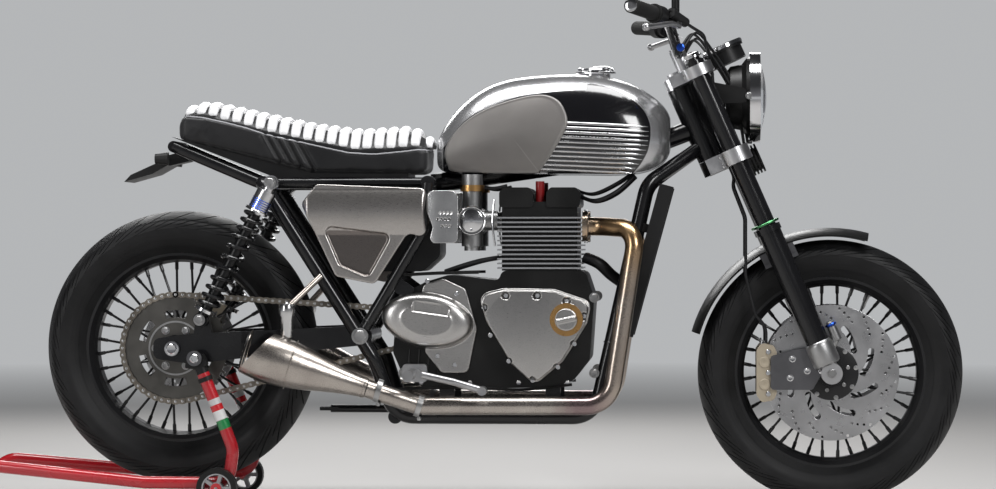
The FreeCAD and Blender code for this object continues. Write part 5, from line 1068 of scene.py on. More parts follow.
def chain_places():
    """Where the pins lie in order: round the rear teeth, along a run, round the front and back."""
    rear, ahead = chain_radius(rear_teeth), chain_radius(front_teeth)
    gap = (front_sprocket - rear_axle) / mm
    lean = math.atan2(gap.z, gap.x)
    spread = math.acos((rear - ahead) / gap.length)
    top, bottom = lean + spread, lean - spread
    step = turn / rear_teeth
    first = math.ceil(top / step)
    last = math.floor((bottom + turn) / step)

    def run_places(angle, used):
        start = rear_axle + around(angle, rear)
        end = front_sprocket + around(angle, ahead)
        length = (end - start).length / mm + used
        count = round(length / chain_pitch)
        along = (end - start).normalized()
        return [start + along * ((index * length / count - used) * mm) for index in range(1, count + 1)]

    places = [rear_axle + around(index * step, rear) for index in range(first, last + 1)]
    places += run_places(bottom, abs(last * step - turn - bottom) * rear)
    wraps = round((top - bottom) * ahead / chain_pitch)
    places += [front_sprocket + around(bottom + (top - bottom) * index / wraps, ahead)
               for index in range(1, wraps)]
    places += list(reversed(run_places(top, abs(first * step - top) * rear)))
    return places


def link_plate(bm, start, end, near, far):
    """A waisted plate round two pins."""
    along = (end - start).normalized()
    square = across.cross(along)
    half = (end - start) / 2
    middle = start + half
    outline = []
    for direction in (1, -1):
        for index in range(link_round_points):
            angle = link_round * (2 * index / (link_round_points - 1) - 1)
            out = along * (direction * math.cos(angle)) + square * (direction * math.sin(angle))
            outline.append(middle + half * direction + out * (link_end * mm))
        outline.append(middle + square * (direction * link_waist * mm))
    rings = []
    for side, share in ((near, link_edge_share), (near, 1.0), (far, 1.0), (far, link_edge_share)):
        rings.append([bm.verts.new(middle + (point - middle) * share + aside(side))
                      for point in outline])
    close_run(bm, rings)


def make_chain():
    """Waisted link plates, wide and narrow in turn, over pins and rollers."""
    roller_steps = [(-chain_roller_half, chain_roller), (chain_roller_half, chain_roller)]
    places = chain_places()
    bm, pins = bmesh.new(), bmesh.new()
    total = len(places)
    for index, place in enumerate(places):
        after = places[(index + 1) % total]
        plates = chain_inner_plate if index % 2 else chain_outer_plate
        for side in sides:
            low, high = sorted((chain_line + side * plates[0], chain_line + side * plates[1]))
            link_plate(bm, place, after, low, high)
        pin = place + aside(chain_line)
        lathe(pins, pin, across, pin_steps, 12)
        lathe(pins, pin, across, roller_steps, 16)
    make_piece("chain_pins", pins, "zinc_steel")
    chain = make_piece("roller_chain", bm, "chain_steel")
    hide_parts("drive_chain")


def dress_drive():
    make_chain()
    make_springs()
    bm = bmesh.new()
    face = rear_axle + aside(sprocket_face)
    for bolt in range(6):
        hex_bolt(bm, face + around(turn * bolt / 6, sprocket_bolt_circle), -across, 6.5, 5.0)
    hoop(bm, face, -across, sprocket_hoop_steps)
    make_piece("sprocket_bolts", bm, "zinc_steel", "rear_wheel")


# Shock springs and collars

shock_side = 180.0
shock_top = at(228.0, 0, 728.0)
shock_bottom = at(68.0, 0, 420.0)
shock_line = (shock_top - shock_bottom).normalized()
shock_length = (shock_top - shock_bottom).length / mm
spring_start = 28.0
spring_end = 75.0
spring_turns = 10.5
spring_middle_radius = 22.0
spring_wire = 4.6
spring_points = 28
spring_closing = 0.035
ridge_count = 5
ridge_pitch = 5.0
ridge_first = 10.0
ridge_radius = 22.2


def shock_finish():
    """Black damper bodies under a bright head."""
    tree, shader = new_material("shock_body", (0.008, 0.008, 0.009))
    rise = along_line(tree, shock_bottom, shock_line)
    top = shock_length - spring_end - 4.0
    head = remap(tree, rise, top - 0.5, top + 0.5)
    cloud = noise(tree, rest_place(tree), 40.0)
    feed(tree, shader, Metallic=head,
         Base_Color=blend_colour(tree, head, (0.008, 0.008, 0.009), (0.60, 0.60, 0.61)),
         Roughness=blend_value(tree, head, uneven(tree, cloud, 0.25, 0.35), 0.26),
         Normal=grain(tree, 500.0, 0.05, 0.2))


def make_springs():
    """Coils that close up at both ends, between collars, with ridges on the damper's head."""
    along = shock_line
    length = shock_length - spring_start - spring_end
    first, second = cross_axes(along)
    coils, collars, gauges = bmesh.new(), bmesh.new(), bmesh.new()
    for side in sides:
        base = shock_bottom + aside(side * shock_side)
        points = []
        total = int(spring_turns * spring_points)
        for index in range(total + 1):
            share = index / total
            angle = share * spring_turns * turn
            settled = share - spring_closing * math.sin(turn * share)
            out = first * math.cos(angle) + second * math.sin(angle)
            rise = spring_start + spring_wire + (length - 2 * spring_wire) * settled
            points.append(base + along * (rise * mm) + out * (spring_middle_radius * mm))
        sweep(coils, points, spring_wire, 10)
        top = base + along * ((spring_start + length) * mm)
        hoop(collars, top, along, top_collar_steps, 48)
        hoop(collars, base + along * (spring_start * mm), along, bottom_collar_steps, 48)
        for ridge in range(ridge_count):
            hoop(gauges, top, along, bead_steps(ridge_first + ridge_pitch * ridge, ridge_radius, 1.0), 48)
    springs = make_piece("coil_springs", coils, "spring_black")
    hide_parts("shock_springs")
    make_piece("spring_collars", collars, "alloy", look="polished_alloy")
    make_piece("shock_ridges", gauges, "alloy", look="blue_anodised")


# Fuel tank

tank_pad = ((614, 784), (613, 800), (622, 822), (648, 855), (680, 880), (722, 900), (777, 917), (822, 925),
            (851, 922), (873, 909), (886, 887), (891, 867), (888, 851), (876, 826), (854, 790), (828, 755),
            (822, 751), (744, 751), (635, 755), (619, 768))
pad_rise = 5.0
# From a knee pad's edge inwards: share of its outline and of its rise
pad_section = ((1.0, -0.3), (1.0, 0.25), (0.995, 0.6), (0.982, 0.9), (0.965, 1.0), (0.945, 0.92),
               (0.93, 0.78), (0.90, 0.76), (0.75, 0.78), (0.5, 0.85), (0.25, 0.95))
rib_count = 11
rib_top = 861.5
rib_pitch = 10.5
rib_slope = -0.045
rib_half = 3.1
rib_rise = 2.2
rib_front_gap = 3.0
rib_steps = 26
rib_level_x = 888.0
# Across a rib: share of its half width and of its rise
rib_section = ((-1.0, -0.4), (-0.85, 0.5), (-0.45, 0.92), (0.0, 1.0), (0.45, 0.92), (0.85, 0.5), (1.0, -0.4))


def patch_on(bm, surface, outline, side, rise, shares):
    """A raised patch inside an outline, laid on a skin, with a rounded edge."""
    loop = flat_run(outline, 4, closed=True)
    centre = (sum(p[0] for p in loop) / len(loop), sum(p[1] for p in loop) / len(loop))
    rings = []
    for share, lift in shares:
        ring = []
        for x, z in loop:
            place = at(centre[0] + (x - centre[0]) * share, 0, centre[1] + (z - centre[1]) * share)
            hit, normal = lay_near(surface, place.x, place.z, side)
            ring.append(bm.verts.new(hit + normal * (lift * rise * mm)))
        rings.append(ring)
    skin(bm, rings)
    hit, normal = lay_near(surface, at(centre[0], 0, 0).x, centre[1] * mm, side)
    middle = bm.verts.new(hit + normal * (rise * mm))
    last = rings[-1]
    for index in range(len(last)):
        bm.faces.new((last[index], last[(index + 1) % len(last)], middle))


def line_limits(height):
    """Where a rib at a height starts behind, at the knee pad, and ends ahead, at the silver band."""
    edge = [p for p in flat_run(tank_pad, 4, closed=True) if p[0] > 800.0]
    start = min(edge, key=lambda p: abs(p[1] - height))[0]
    pairs = [(z, x) for z, x in panel_front]
    for (z0, x0), (z1, x1) in zip(pairs, pairs[1:]):
        if z0 <= height <= z1:
            return start, x0 + (x1 - x0) * (height - z0) / (z1 - z0)
    return start, pairs[0][1]


def make_tank_ribs(surface):
    """Bright mouldings across the black panel, ahead of the knee pad."""
    bm = bmesh.new()
    for side in sides:
        for rib in range(rib_count):
            height = rib_top - rib_pitch * rib
            start, end = line_limits(height - 4.0)
            rings = []
            for step in range(rib_steps + 1):
                share = step / rib_steps
                x = start - 2.0 + (end - start - rib_front_gap) * share
                z = height + rib_slope * (x - rib_level_x)
                taper = min(1.0, 6.0 * (1.0 - share) + 0.25)
                ring = []
                for offset, lift in rib_section:
                    place = at(x, 0, z + offset * rib_half * taper)
                    hit, normal = lay_near(surface, place.x, place.z, side)
                    ring.append(bm.verts.new(hit + normal * (lift * rib_rise * mm)))
                rings.append(ring)
            close_run(bm, rings)
    make_piece("tank_ribs", bm, "tank_silver", look="rib_silver")


def knee_pad_finish():
    """Satin grey, with a painted highlight along its edges."""
    tree, shader = new_material("knee_pad_satin", (0.16, 0.15, 0.145), metallic=0.5)
    place = rest_place(tree)
    cloud = noise(tree, place, 8.0)
    tone = blend_colour(tree, uneven(tree, cloud, 0.0, 1.0), (0.165, 0.155, 0.15), (0.21, 0.20, 0.19))
    # Painted highlight: the pad's outward edges are lightened towards a pale grey
    rim = painted_edge_highlight(tree)
    feed(tree, shader, Base_Color=blend_colour(tree, rim, tone, (0.42, 0.41, 0.40)),
         Roughness=uneven(tree, cloud, 0.42, 0.5),
         Normal=grain(tree, 900.0, 0.06, 0.2))


cap_place = at(950.0, 0, 960.0)
cap_height = 30.0
cap_rim = cap_height - 9.0
cap_bolt_circle = 39.5
cap_hinge_shift = (-36, -11, 7)
lever_run = ((-6, 11), (10, 12), (26, 12), (37, 8), (41, 5))


def make_tank_cap():
    """A flip-up cap: a rolled flange with bolts, a domed lid, a hinge and a latch lever."""
    bm = bmesh.new()
    top = cap_place + up * (cap_rim * mm)
    hoop(bm, top, up, cap_flange_steps)
    for bolt in range(6):
        angle = turn * (bolt + 0.5) / 6
        out = forward * math.cos(angle) + across * math.sin(angle)
        place = top + out * (cap_bolt_circle * mm) + up * (2.0 * mm)
        socket_bolt(bm, place, up, 2.6, 2.0)
    lathe(bm, top, up, cap_lid_steps, 64)
    lathe(bm, top + Vector(cap_hinge_shift) * mm, across, cap_hinge_steps, 20)
    lever = [top + forward * (x * mm) + up * (z * mm) for x, z in lever_run]
    sweep(bm, smooth_run(lever, 5), 3.4, 12)
    piece = make_piece("tank_cap_lid", bm, "chrome")
    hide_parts("fuel_cap")
    bore = bmesh.new()
    lathe(bore, cap_place, up, [(0.5, 33.0), (cap_rim, 33.0)], 64)
    make_piece("tank_cap_neck", bore, "alloy", look="polished_alloy")


def dress_tank():
    surface = node_surface("fuel_tank")
    pads = bmesh.new()
    for side in sides:
        patch_on(pads, surface, tank_pad, side, pad_rise, pad_section)
    make_piece("knee_pads", pads, "tank_silver", look="knee_pad_satin", smooth_angle=math.radians(50))
    make_tank_ribs(surface)
    make_tank_cap()


# Seat

seat_shrink = 0.965
seat_voxel = 6.0
seat_cap = 7.0
seat_pressure = 4.0
seat_frames = 20
# Distance along the seat and height of the line between its side and its ribbed top
seat_line = ((-2, 878), (10, 882), (57, 878), (113, 866), (159, 854), (196, 842), (226, 834), (286, 821),
             (339, 809), (395, 797), (452, 794), (508, 799), (549, 804), (588, 803))
# How deep the seam and the pleats are pressed, how wide, and how the hide swells beside a pleat
seam_press = 2.6
seam_spread = 3.4
pleat_side = 60
pleat_press = 5.0
pleat_spread = 3.6
pleat_swell = 1.6
pleat_swell_off = 9.0
pleat_swell_spread = 5.0
roll_first = 28.0
roll_count = 21
roll_pitch = 27.1
roll_half_width = roll_pitch * 0.5 * 0.86
roll_above_seam = 5.0
roll_inset = 3.0
# Each roll's end is looked for in small steps up the cushion's side
roll_end_tries = 60
roll_end_step = 0.2
roll_swell = 10.5
roll_swell_loss = 2.0
roll_sink = 1.0
roll_steps = 22
roll_points = 13
roll_ray_height = 1200.0
piping_ends = (4.0, 584.0)
piping_points = 120
piping_radius = 1.7
pleat_ends = (((204, 839), (236, 781)), ((226, 834), (260, 777)), ((252, 828), (282, 770)),
              ((275, 824), (311, 760)))


def seam_height(x):
    """The height of the seat's line at a distance along it."""
    for (x0, z0), (x1, z1) in zip(seat_line, seat_line[1:]):
        if x <= x1:
            return z0 + (z1 - z0) * (x - x0) / (x1 - x0)
    return seat_line[-1][1]


def swollen_seat():
    """The seat's solid, a little smaller, remeshed and blown up as cloth, with each point's move capped."""
    low, high = node_box("seat")
    middle = (low + high) / 2
    mesh = frame["nodes"]["seat"].data.copy()
    for vertex in mesh.vertices:
        vertex.co = middle + (vertex.co - middle) * seat_shrink
    pad = link(bpy.data.objects.new("seat_cushion", mesh))
    remesh = pad.modifiers.new("remesh", "REMESH")
    remesh.mode = "VOXEL"
    remesh.voxel_size = seat_voxel * mm
    smooth = pad.modifiers.new("smooth", "SMOOTH")
    smooth.iterations = 4
    apply_modifiers(pad)
    start = [vertex.co.copy() for vertex in pad.data.vertices]
    cloth = pad.modifiers.new("cloth", "CLOTH")
    cloth.settings.use_pressure = True
    cloth.settings.uniform_pressure_force = seat_pressure
    cloth.settings.effector_weights.gravity = 0.0
    cloth.point_cache.frame_start = 1
    cloth.point_cache.frame_end = seat_frames
    for number in range(1, seat_frames + 1):
        bpy.context.scene.frame_set(number)
    apply_modifiers(pad)
    for vertex, before in zip(pad.data.vertices, start):
        move = vertex.co - before
        if move.length > seat_cap * mm:
            vertex.co = before + move.normalized() * (seat_cap * mm)
    bpy.context.scene.frame_set(1)
    return pad


def apply_modifiers(obj):
    """Replaces a mesh with what its modifiers make of it."""
    bpy.context.view_layer.update()
    shown = obj.evaluated_get(bpy.context.evaluated_depsgraph_get())
    mesh = bpy.data.meshes.new_from_object(shown)
    obj.modifiers.clear()
    obj.data = mesh


def press_seams(pad):
    """Presses the welt line and the slanting side pleats into the cushion."""
    low, high = node_box("seat")
    outward = [vertex.normal.copy() for vertex in pad.data.vertices]
    for vertex, normal in zip(pad.data.vertices, outward):
        x = (vertex.co.x - rear_axle.x) / mm
        z = vertex.co.z / mm
        gap = z - seam_height(x)
        press = seam_press * math.exp(-(gap / seam_spread) ** 2)
        if abs(vertex.co.y) > pleat_side * mm and gap < 0:
            for (x0, z0), (x1, z1) in pleat_ends:
                span = Vector((x1 - x0, z1 - z0))
                share = Vector((x - x0, z - z0)).dot(span) / span.length_squared
                off = abs(Vector((x - x0, z - z0)).cross(span)) / span.length
                if -0.05 < share < 1.1:
                    press += pleat_press * math.exp(-(off / pleat_spread) ** 2)
                    press -= pleat_swell * math.exp(-((off - pleat_swell_off) / pleat_swell_spread) ** 2)
        vertex.co -= normal * (press * mm)
        vertex.co.x = min(max(vertex.co.x, low.x - 4 * mm), high.x + 2 * mm)
        vertex.co.z = max(vertex.co.z, low.z)


def make_rolls(pad):
    """White rolls across the top, one beside the other, that swell up from a black base."""
    surface = mesh_surface(pad.data)
    bm = bmesh.new()
    for roll in range(roll_count):
        x = roll_first + roll * roll_pitch
        rim = seam_height(x) + roll_above_seam
        widest = 0.0
        for step in range(roll_end_tries):
            hit, _ = lay_on(surface, at(x, 0, 0).x, (rim + step * roll_end_step) * mm, 1)
            if hit is not None:
                widest = max(widest, hit.y / mm)
        end = widest - roll_inset
        rings = []
        for step in range(roll_steps + 1):
            share = 2 * step / roll_steps - 1
            y = end * math.sin(share * math.pi / 2)
            hit, _, _, _ = surface.ray_cast(at(x, y, roll_ray_height), -up)
            if hit is None:
                continue
            edge = math.sqrt(max(0.0, 1 - abs(share) ** 6))
            swell = (roll_swell - roll_swell_loss * abs(share) ** 2) * (0.35 + 0.65 * edge)
            width = roll_half_width * (0.55 + 0.45 * edge)
            ring = []
            for index in range(roll_points):
                angle = math.pi * (1.12 - 1.24 * index / (roll_points - 1))
                out = Vector((math.cos(angle) * width, 0, math.sin(angle) * swell - roll_sink))
                ring.append(bm.verts.new(hit + out * mm + aside(math.copysign(1.0 - edge, share) * 2.0)))
            rings.append(ring)
        close_run(bm, rings)
    rolls = mesh_object("seat_rolls", bm, math.radians(60))
    dress(rolls, "seat_white", "chassis")


def make_piping(pad):
    """A thin cord sewn in the seam round the ribbed top."""
    surface = mesh_surface(pad.data)
    bm = bmesh.new()
    for side in sides:
        points = []
        for step in range(piping_points):
            x = piping_ends[0] + (piping_ends[1] - piping_ends[0]) * step / (piping_points - 1)
            place = at(x, 0, seam_height(x) - 1.0)
            hit, normal = lay_on(surface, place.x, place.z, side)
            if hit is not None:
                points.append(hit + normal * (0.6 * mm))
        sweep(bm, points, piping_radius, 8)
    make_piece("seat_piping", bm, "seat_leather", look="piping_grey")


def dress_seat():
    pad = swollen_seat()
    finer = pad.modifiers.new("finer", "SUBSURF")
    finer.levels = 1
    apply_modifiers(pad)
    press_seams(pad)
    pad.data.shade_smooth()
    dress(pad, "seat_leather", "chassis")
    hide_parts("seat")
    make_rolls(pad)
    make_piping(pad)


# Engine

case_side = 118.0
cover_rim_face = 130.0
cover_face = 162.0
cover_bolts = ((703, 447), (752, 474), (823, 474), (889, 462), (928, 428), (906, 366), (869, 314), (812, 284),
               (758, 327), (717, 385))
plate_bolts = ((574, 506), (640, 478), (597, 338), (636, 318))
plate_face = 124.0
head_bolts = ((788, 680), (884, 676))
head_bolt_face = 112.0
sump_bolts = ((560, 278), (670, 278), (780, 278), (890, 278))
port_stud_rises = (-30.0, 30.0)
filler_place = at(889.0, 0, 421.0)
round_left_covers = ((at(809.0, 0, 382.0), 84.0, 150.0, 8), (at(610.0, 0, 410.0), 48.0, 142.0, 5))
drum_place = at(674.0, 0, 643.0)
drum_faces = (60.0, 128.0)
drum_radius = 32.0
drum_beads = ((drum_faces[1], 2.2), (drum_faces[0], 1.6))
drum_screw_circle = 21.0
filler_bead = (0.5, 36.0, 1.4)
port_place = at(922.3, 0, 630.0)
port_side = 75.0
cover_top = 712.0
cover_fold = 612.0
cover_roll = 11.0
# Where the roll begins behind and ends ahead, each with the distance that it takes to reach its height
cover_ends = (292.0, 14.0, 576.0, 9.0)
guard_back = 575.0
guard_length = 70.0
guard_belly = 5.0
guard_sink = 1.5
clutch_back = 690.0


def reshaped(node, voxel, move, name, look):
    """A finer copy of a rigid node, with each point moved along the machine's width by a formula."""
    shell = link(bpy.data.objects.new(name, frame["nodes"][node].data.copy()))
    remesh = shell.modifiers.new("remesh", "REMESH")
    remesh.mode = "VOXEL"
    remesh.voxel_size = voxel * mm
    apply_modifiers(shell)
    outward = [vertex.normal.copy() for vertex in shell.data.vertices]
    for vertex, normal in zip(shell.data.vertices, outward):
        x, y, z = (vertex.co.x - rear_axle.x) / mm, vertex.co.y / mm, vertex.co.z / mm
        side = 1 if y > 0 else -1
        if normal.y * side > 0.2:
            vertex.co.y += side * move(x, abs(y), z) * mm
    shell.data.shade_smooth()
    dress(shell, look, "chassis")
    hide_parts(node)


def cover_swell(x, y, z):
    """The side cover's upper half rolls in towards its top edge and stands proud of the lower half."""
    share = limited((z - cover_fold) / (cover_top - cover_fold))
    roll = math.sin(math.pi * share) ** 0.8 * cover_roll
    back, back_run, front, front_run = cover_ends
    return roll * limited((x - back) / back_run) * limited((front - x) / front_run)


cover_middle = (817.0, 382.0)
cover_reach = 118.0
cover_dome = 8.0
scallop_radius = 8.6
# How far out the bottom of the side cover's recess lies, and its top edge
recess_face = 160.0
recess_top = 648.0


def side_cover_finish():
    """Brushed alloy with a darker panel in the recess."""
    tree, shader = new_material("cover_alloy", (0.42, 0.40, 0.385), metallic=1.0)
    _, y, z = drawn_place(tree)
    deep = remap(tree, math_node(tree, "ABSOLUTE", y), recess_face - 0.4, recess_face + 0.4, 1.0, 0.0)
    panel = math_node(tree, "MULTIPLY", deep, remap(tree, z, recess_top - 1.0, recess_top + 1.0, 1.0, 0.0))
    place = rest_place(tree)
    lines = noise(tree, stretched(tree, place, brush_along), 44.0, 4.0)
    tone = blend_colour(tree, noise(tree, place, 9.0), (0.50, 0.475, 0.455), (0.40, 0.38, 0.365))
    feed(tree, shader, Base_Color=blend_colour(tree, panel, tone, (0.19, 0.17, 0.16)),
         Roughness=remap(tree, lines, 0.25, 0.75, 0.24, 0.36),
         Normal=bump(tree, lines, 0.05, 0.2 * mm))


def clutch_swell(x, y, z):
    """The clutch cover's face domes up, and scallops in its edge leave room for the bolts."""
    if x < clutch_back:
        return 0.0
    if y > cover_rim_face + 2.0:
        for bolt_x, bolt_z in cover_bolts:
            if math.hypot(x - bolt_x, z - bolt_z) < scallop_radius:
                return cover_rim_face + 1.0 - y
    share = math.hypot(x - cover_middle[0], z - cover_middle[1]) / cover_reach
    return cover_dome * max(0.0, 1.0 - share * share) if y > cover_face - 2.0 else 0.0


def guard_swell(x, y, z):
    """The throttle guard bellies out between its rolled edges."""
    share = limited((x - guard_back) / guard_length)
    return guard_belly * max(0.0, math.sin(math.pi * share)) - guard_sink


def make_engine_bolts():
    """Socket screws in the covers, and hexagon heads on the head, the sump and the ports."""
    bm = bmesh.new()
    for x, z in cover_bolts:
        socket_bolt(bm, at(x, -cover_rim_face, z), -across, 5.4, 4.5)
    for x, z in plate_bolts:
        socket_bolt(bm, at(x, -plate_face, z), -across, 5.4, 4.5)
    for centre, radius, face, count in round_left_covers:
        for index in range(count):
            place = centre + around(turn * (index + 0.5) / count, radius) + aside(face)
            socket_bolt(bm, place, across, 5.0, 4.0)
    for side in sides:
        for x, z in head_bolts:
            hex_bolt(bm, at(x, side * head_bolt_face, z), across * side, 5.5, 6.0)
        for x, z in sump_bolts:
            hex_bolt(bm, at(x, side * (case_side - 2.0), z), across * side, 5.0, 5.0)
        for rise in port_stud_rises:
            place = port_place + aside(side * port_side) + up * (rise * mm) + forward * (5 * mm)
            hex_bolt(bm, place, forward, 5.5, 8.0)
    make_piece("engine_bolts", bm, "zinc_steel", look="polished_alloy")


def make_cover_trim():
    """Polished beads and caps on the drums, and a bead round the oil filler."""
    bm = bmesh.new()
    for side in sides:
        for face, thick in drum_beads:
            centre = drum_place + aside(side * face)
            hoop(bm, centre, across, bead_steps(0.0, drum_radius - 1.2, thick))
        cap = drum_place + aside(side * drum_faces[1])
        lathe(bm, cap, across * side, drum_cap_steps, 48)
        for index in range(3):
            place = cap + around(turn * (index + 0.25) / 3, drum_screw_circle) + aside(side * 2.0)
            socket_bolt(bm, place, across * side, 2.8, 2.2)
    hoop(bm, filler_place - aside(cover_face), -across, bead_steps(*filler_bead))
    make_piece("engine_trim", bm, "alloy", look="polished_alloy")


union_places = ((706.0, 96.0, 631.0), (706.0, 96.0, 655.0))
rod_run = ((727.0, 121.0, 585.0), (721.0, 123.0, 637.5), (725.0, 121.0, 690.0))


def make_rods():
    """Thin bright rods and their unions between the throttle bodies and the barrel."""
    bm = bmesh.new()
    for side in sides:
        run = [at(x, side * y, z) for x, y, z in rod_run]
        sweep(bm, smooth_run(run, 6), 2.4, 10)
        for x, y, z in union_places:
            lathe(bm, at(x, side * y, z), forward, union_steps, 24)
    make_piece("fuel_rods", bm, "zinc_steel", look="polished_alloy")


loom_runs = (
    (((612, 60, 738), (660, 84, 728), (716, 92, 716), (752, 86, 722)), 4.0),
    (((905, 52, 704), (948, 84, 688), (996, 88, 706), (1040, 62, 744)), 4.5),
    (((898, 40, 716), (944, 66, 704), (1000, 70, 728), (1046, 44, 760)), 3.2),
    (((735, 96, 560), (690, 104, 552), (648, 100, 540), (612, 84, 528)), 5.0),
    (((925, 60, 560), (958, 66, 545), (985, 52, 520), (1012, 36, 500)), 12.0),
)


def make_looms():
    """Wiring and hoses that run under the tank and round the barrel."""
    bm = bmesh.new()
    for run, radius in loom_runs:
        for side in sides:
            places = [at(x, side * y, z) for x, y, z in run]
            sweep(bm, smooth_run(places, 10), radius, 12)
    make_piece("engine_looms", bm, "hose_rubber")


case_seams = (((500, 262), (640, 268), (780, 262), (900, 274)), ((520, 520), (600, 524), (690, 526)))
case_seam_radius = 3.4
case_rib_count = 6
case_rib_pitch = 22.0
case_rib_ends = ((530.0, 296.0), (534.0, 352.0))
case_rib_radius = 2.6


def make_case_ribs():
    """Raised seams and ribs cast in the crankcase."""
    bm = bmesh.new()
    for side in sides:
        for run in case_seams:
            points = [at(x, side * (case_side + 0.2), z) for x, z in flat_run(run, 6)]
            sweep(bm, points, case_seam_radius, 10)
        for step in range(case_rib_count):
            ends = [(x + step * case_rib_pitch, z) for x, z in case_rib_ends]
            sweep(bm, [at(x, side * case_side, z) for x, z in ends], case_rib_radius, 10)
    make_piece("case_ribs", bm, "engine_black")


def dress_engine():
    reshaped("side_covers", 2.5, cover_swell, "side_cover_shells", "cover_alloy")
    reshaped("throttle_covers", 1.4, guard_swell, "throttle_guards", "polished_satin")
    reshaped("right_covers", 1.8, clutch_swell, "right_cover_shells", "cover_satin")
    make_engine_bolts()
    make_cover_trim()
    make_rods()
    make_looms()
    make_case_ribs()


# Exhaust

silencer_end = at(172.0, 214.0, 352.0)
silencer_start = at(443.0, 198.0, 268.0)
pipe_joints = ((at(560.0, 178.0, 228.0), 23.5), (at(470.0, 194.0, 262.0), 24.5))
# Share of the silencer's length and radius of each bead round it
silencer_beads = ((0.02, 23.2), (0.62, 55.6), (0.985, 49.0))
baffle_sink = 3.0
# Number of holes and radius of each ring of them in the baffle
baffle_rings = ((16, 37.0), (11, 28.0))
hanger_boss = at(263.0, 196.0, 444.0)
peg_foot = at(266.0, 206.0, 380.0)
peg_steps = [(0, 11.0), (8, 13.5), (46, 14.5), (52, 17.0), (58, 18.0), (72, 18.0), (76, 15.5)]


def mirrored(place, side):
    return Vector((place.x, place.y * side, place.z))


def dress_exhaust():
    """Weld beads, clamps, drilled baffles and the posts above the silencers, on both sides."""
    welds, clamps, dark, pegs = bmesh.new(), bmesh.new(), bmesh.new(), bmesh.new()
    for side in sides:
        start, end = mirrored(silencer_start, side), mirrored(silencer_end, side)
        along = (end - start).normalized()
        for share, radius in silencer_beads:
            hoop(welds, start + (end - start) * share, along, bead_steps(0.0, radius, 1.2), 64)
        baffle = end - along * (baffle_sink * mm)
        hoop(dark, baffle, along, baffle_steps, 64)
        first, second = cross_axes(along)
        for count, radius in baffle_rings:
            for hole in range(count):
                angle = turn * hole / count
                out = first * math.cos(angle) + second * math.sin(angle)
                lathe(welds, baffle + out * (radius * mm), along, baffle_hole_steps, 10)
        for place, radius in pipe_joints:
            centre = mirrored(place, side)
            axis = (centre - mirrored(silencer_end, side)).normalized()
            hoop(clamps, centre, axis, [(-6, radius), (-6, radius + 1.8), (6, radius + 1.8), (6, radius)], 48)
            lug = centre - up * ((radius + 5.0) * mm)
            lathe(clamps, lug, across, clamp_lug_steps, 12)
        boss = mirrored(hanger_boss, side)
        hex_bolt(clamps, boss + aside(side * 9), across * side, 7.0, 6.0)
        lathe(pegs, mirrored(peg_foot, side), up, peg_steps, 40)
        socket_bolt(pegs, mirrored(peg_foot, side) + up * (76 * mm), up, 7.0, 3.0)
        flange = port_place + aside(side * port_side) + forward * (9 * mm)
        hoop(clamps, flange, forward, port_clamp_steps, 48)
    make_piece("exhaust_welds", welds, "stainless")
    make_piece("exhaust_clamps", clamps, "zinc_steel")
    make_piece("silencer_baffles", dark, "engine_black")
    make_piece("silencer_hanger_stubs", pegs, "alloy", look="polished_satin")


# Headlight, instruments and controls

lamp_centre = at(1300.0, 0, 924.0)
lamp_glass_radius = 86.0
reflector_thickness = 2.0
reflector_outline = ((-34.0, 12.0), (-30.0, 34.0), (-22.0, 56.0), (-10.0, 76.0), (0.0, lamp_glass_radius))
lamp_ear = 101.0
dial_lean = math.radians(24.8)
dial_radius = 43.0
dial_height = 1.0
dial_foot = (772.0, 72.4)
mark_count = 24
# The first mark's angle, how far the marks go round, and where the needle points
mark_start = math.radians(-30)
mark_sweep = math.radians(240)
needle_angle = 0.2
needle_height = 2.4


def dial_axes():
    """Up out of the dial's face, and the face's own upward direction."""
    out = (up * math.cos(dial_lean) - forward * math.sin(dial_lean)).normalized()
    return out, (forward * math.cos(dial_lean) + up * math.sin(dial_lean)).normalized()


def make_lamp():
    """A dished reflector with its bulb behind the glass, and the lamp's screws."""
    bm = bmesh.new()
    back = [(along - reflector_thickness, radius) for along, radius in reversed(reflector_outline)]
    hoop(bm, lamp_centre, forward, list(reflector_outline) + back, 64)
    make_piece("lamp_reflector", bm, "chrome", "steering")
    bulb = bmesh.new()
    lathe(bulb, lamp_centre, forward, bulb_steps, 24)
    make_piece("lamp_bulb", bulb, "lamp_glass", "steering", look="bulb_glass")
    screws = bmesh.new()
    for side in sides:
        ear = lamp_centre - forward * (2 * mm) + aside(side * lamp_ear)
        hex_bolt(screws, ear, across * side, 6.0, 5.0)
    lathe(screws, lamp_centre - up * (lamp_ear * mm), forward, lamp_screw_steps, 16)
    make_piece("lamp_screws", screws, "zinc_steel", "steering")


def make_dial():
    """A black dial face in its bezel, with marks round it and a needle."""
    out, upward = dial_axes()
    centre = on_fork(*dial_foot) + out * (dial_height * mm)
    face, marks, needle = bmesh.new(), bmesh.new(), bmesh.new()
    steps = [(-1.0, dial_radius), (0.6, dial_radius), (0.8, dial_radius - 1)]
    lathe(face, centre, out, steps, 64)
    hoop(marks, centre, out, dial_bezel_steps, 96)
    for index in range(mark_count + 1):
        angle = mark_start + mark_sweep * index / mark_count
        arm = upward * math.sin(angle) + across * math.cos(angle)
        long = 9.0 if index % 4 == 0 else 5.0
        start = centre + out * (1.0 * mm) + arm * ((dial_radius - 3.0 - long) * mm)
        sweep(marks, [start, start + arm * (long * mm)], 0.7, 6)
    arm = upward * math.sin(needle_angle) + across * math.cos(needle_angle)
    pivot = centre + out * (needle_height * mm)
    sweep(needle, [pivot - arm * (8 * mm), pivot + arm * (30 * mm)], [1.8, 0.6], 8)
    lathe(needle, centre, out, needle_hub_steps, 24)
    make_piece("dial_face", face, "plastic_black", "steering")
    make_piece("dial_marks", marks, "chrome", "steering")
    make_piece("dial_needle", needle, "plug_red", "steering")


fork_side = 105.0
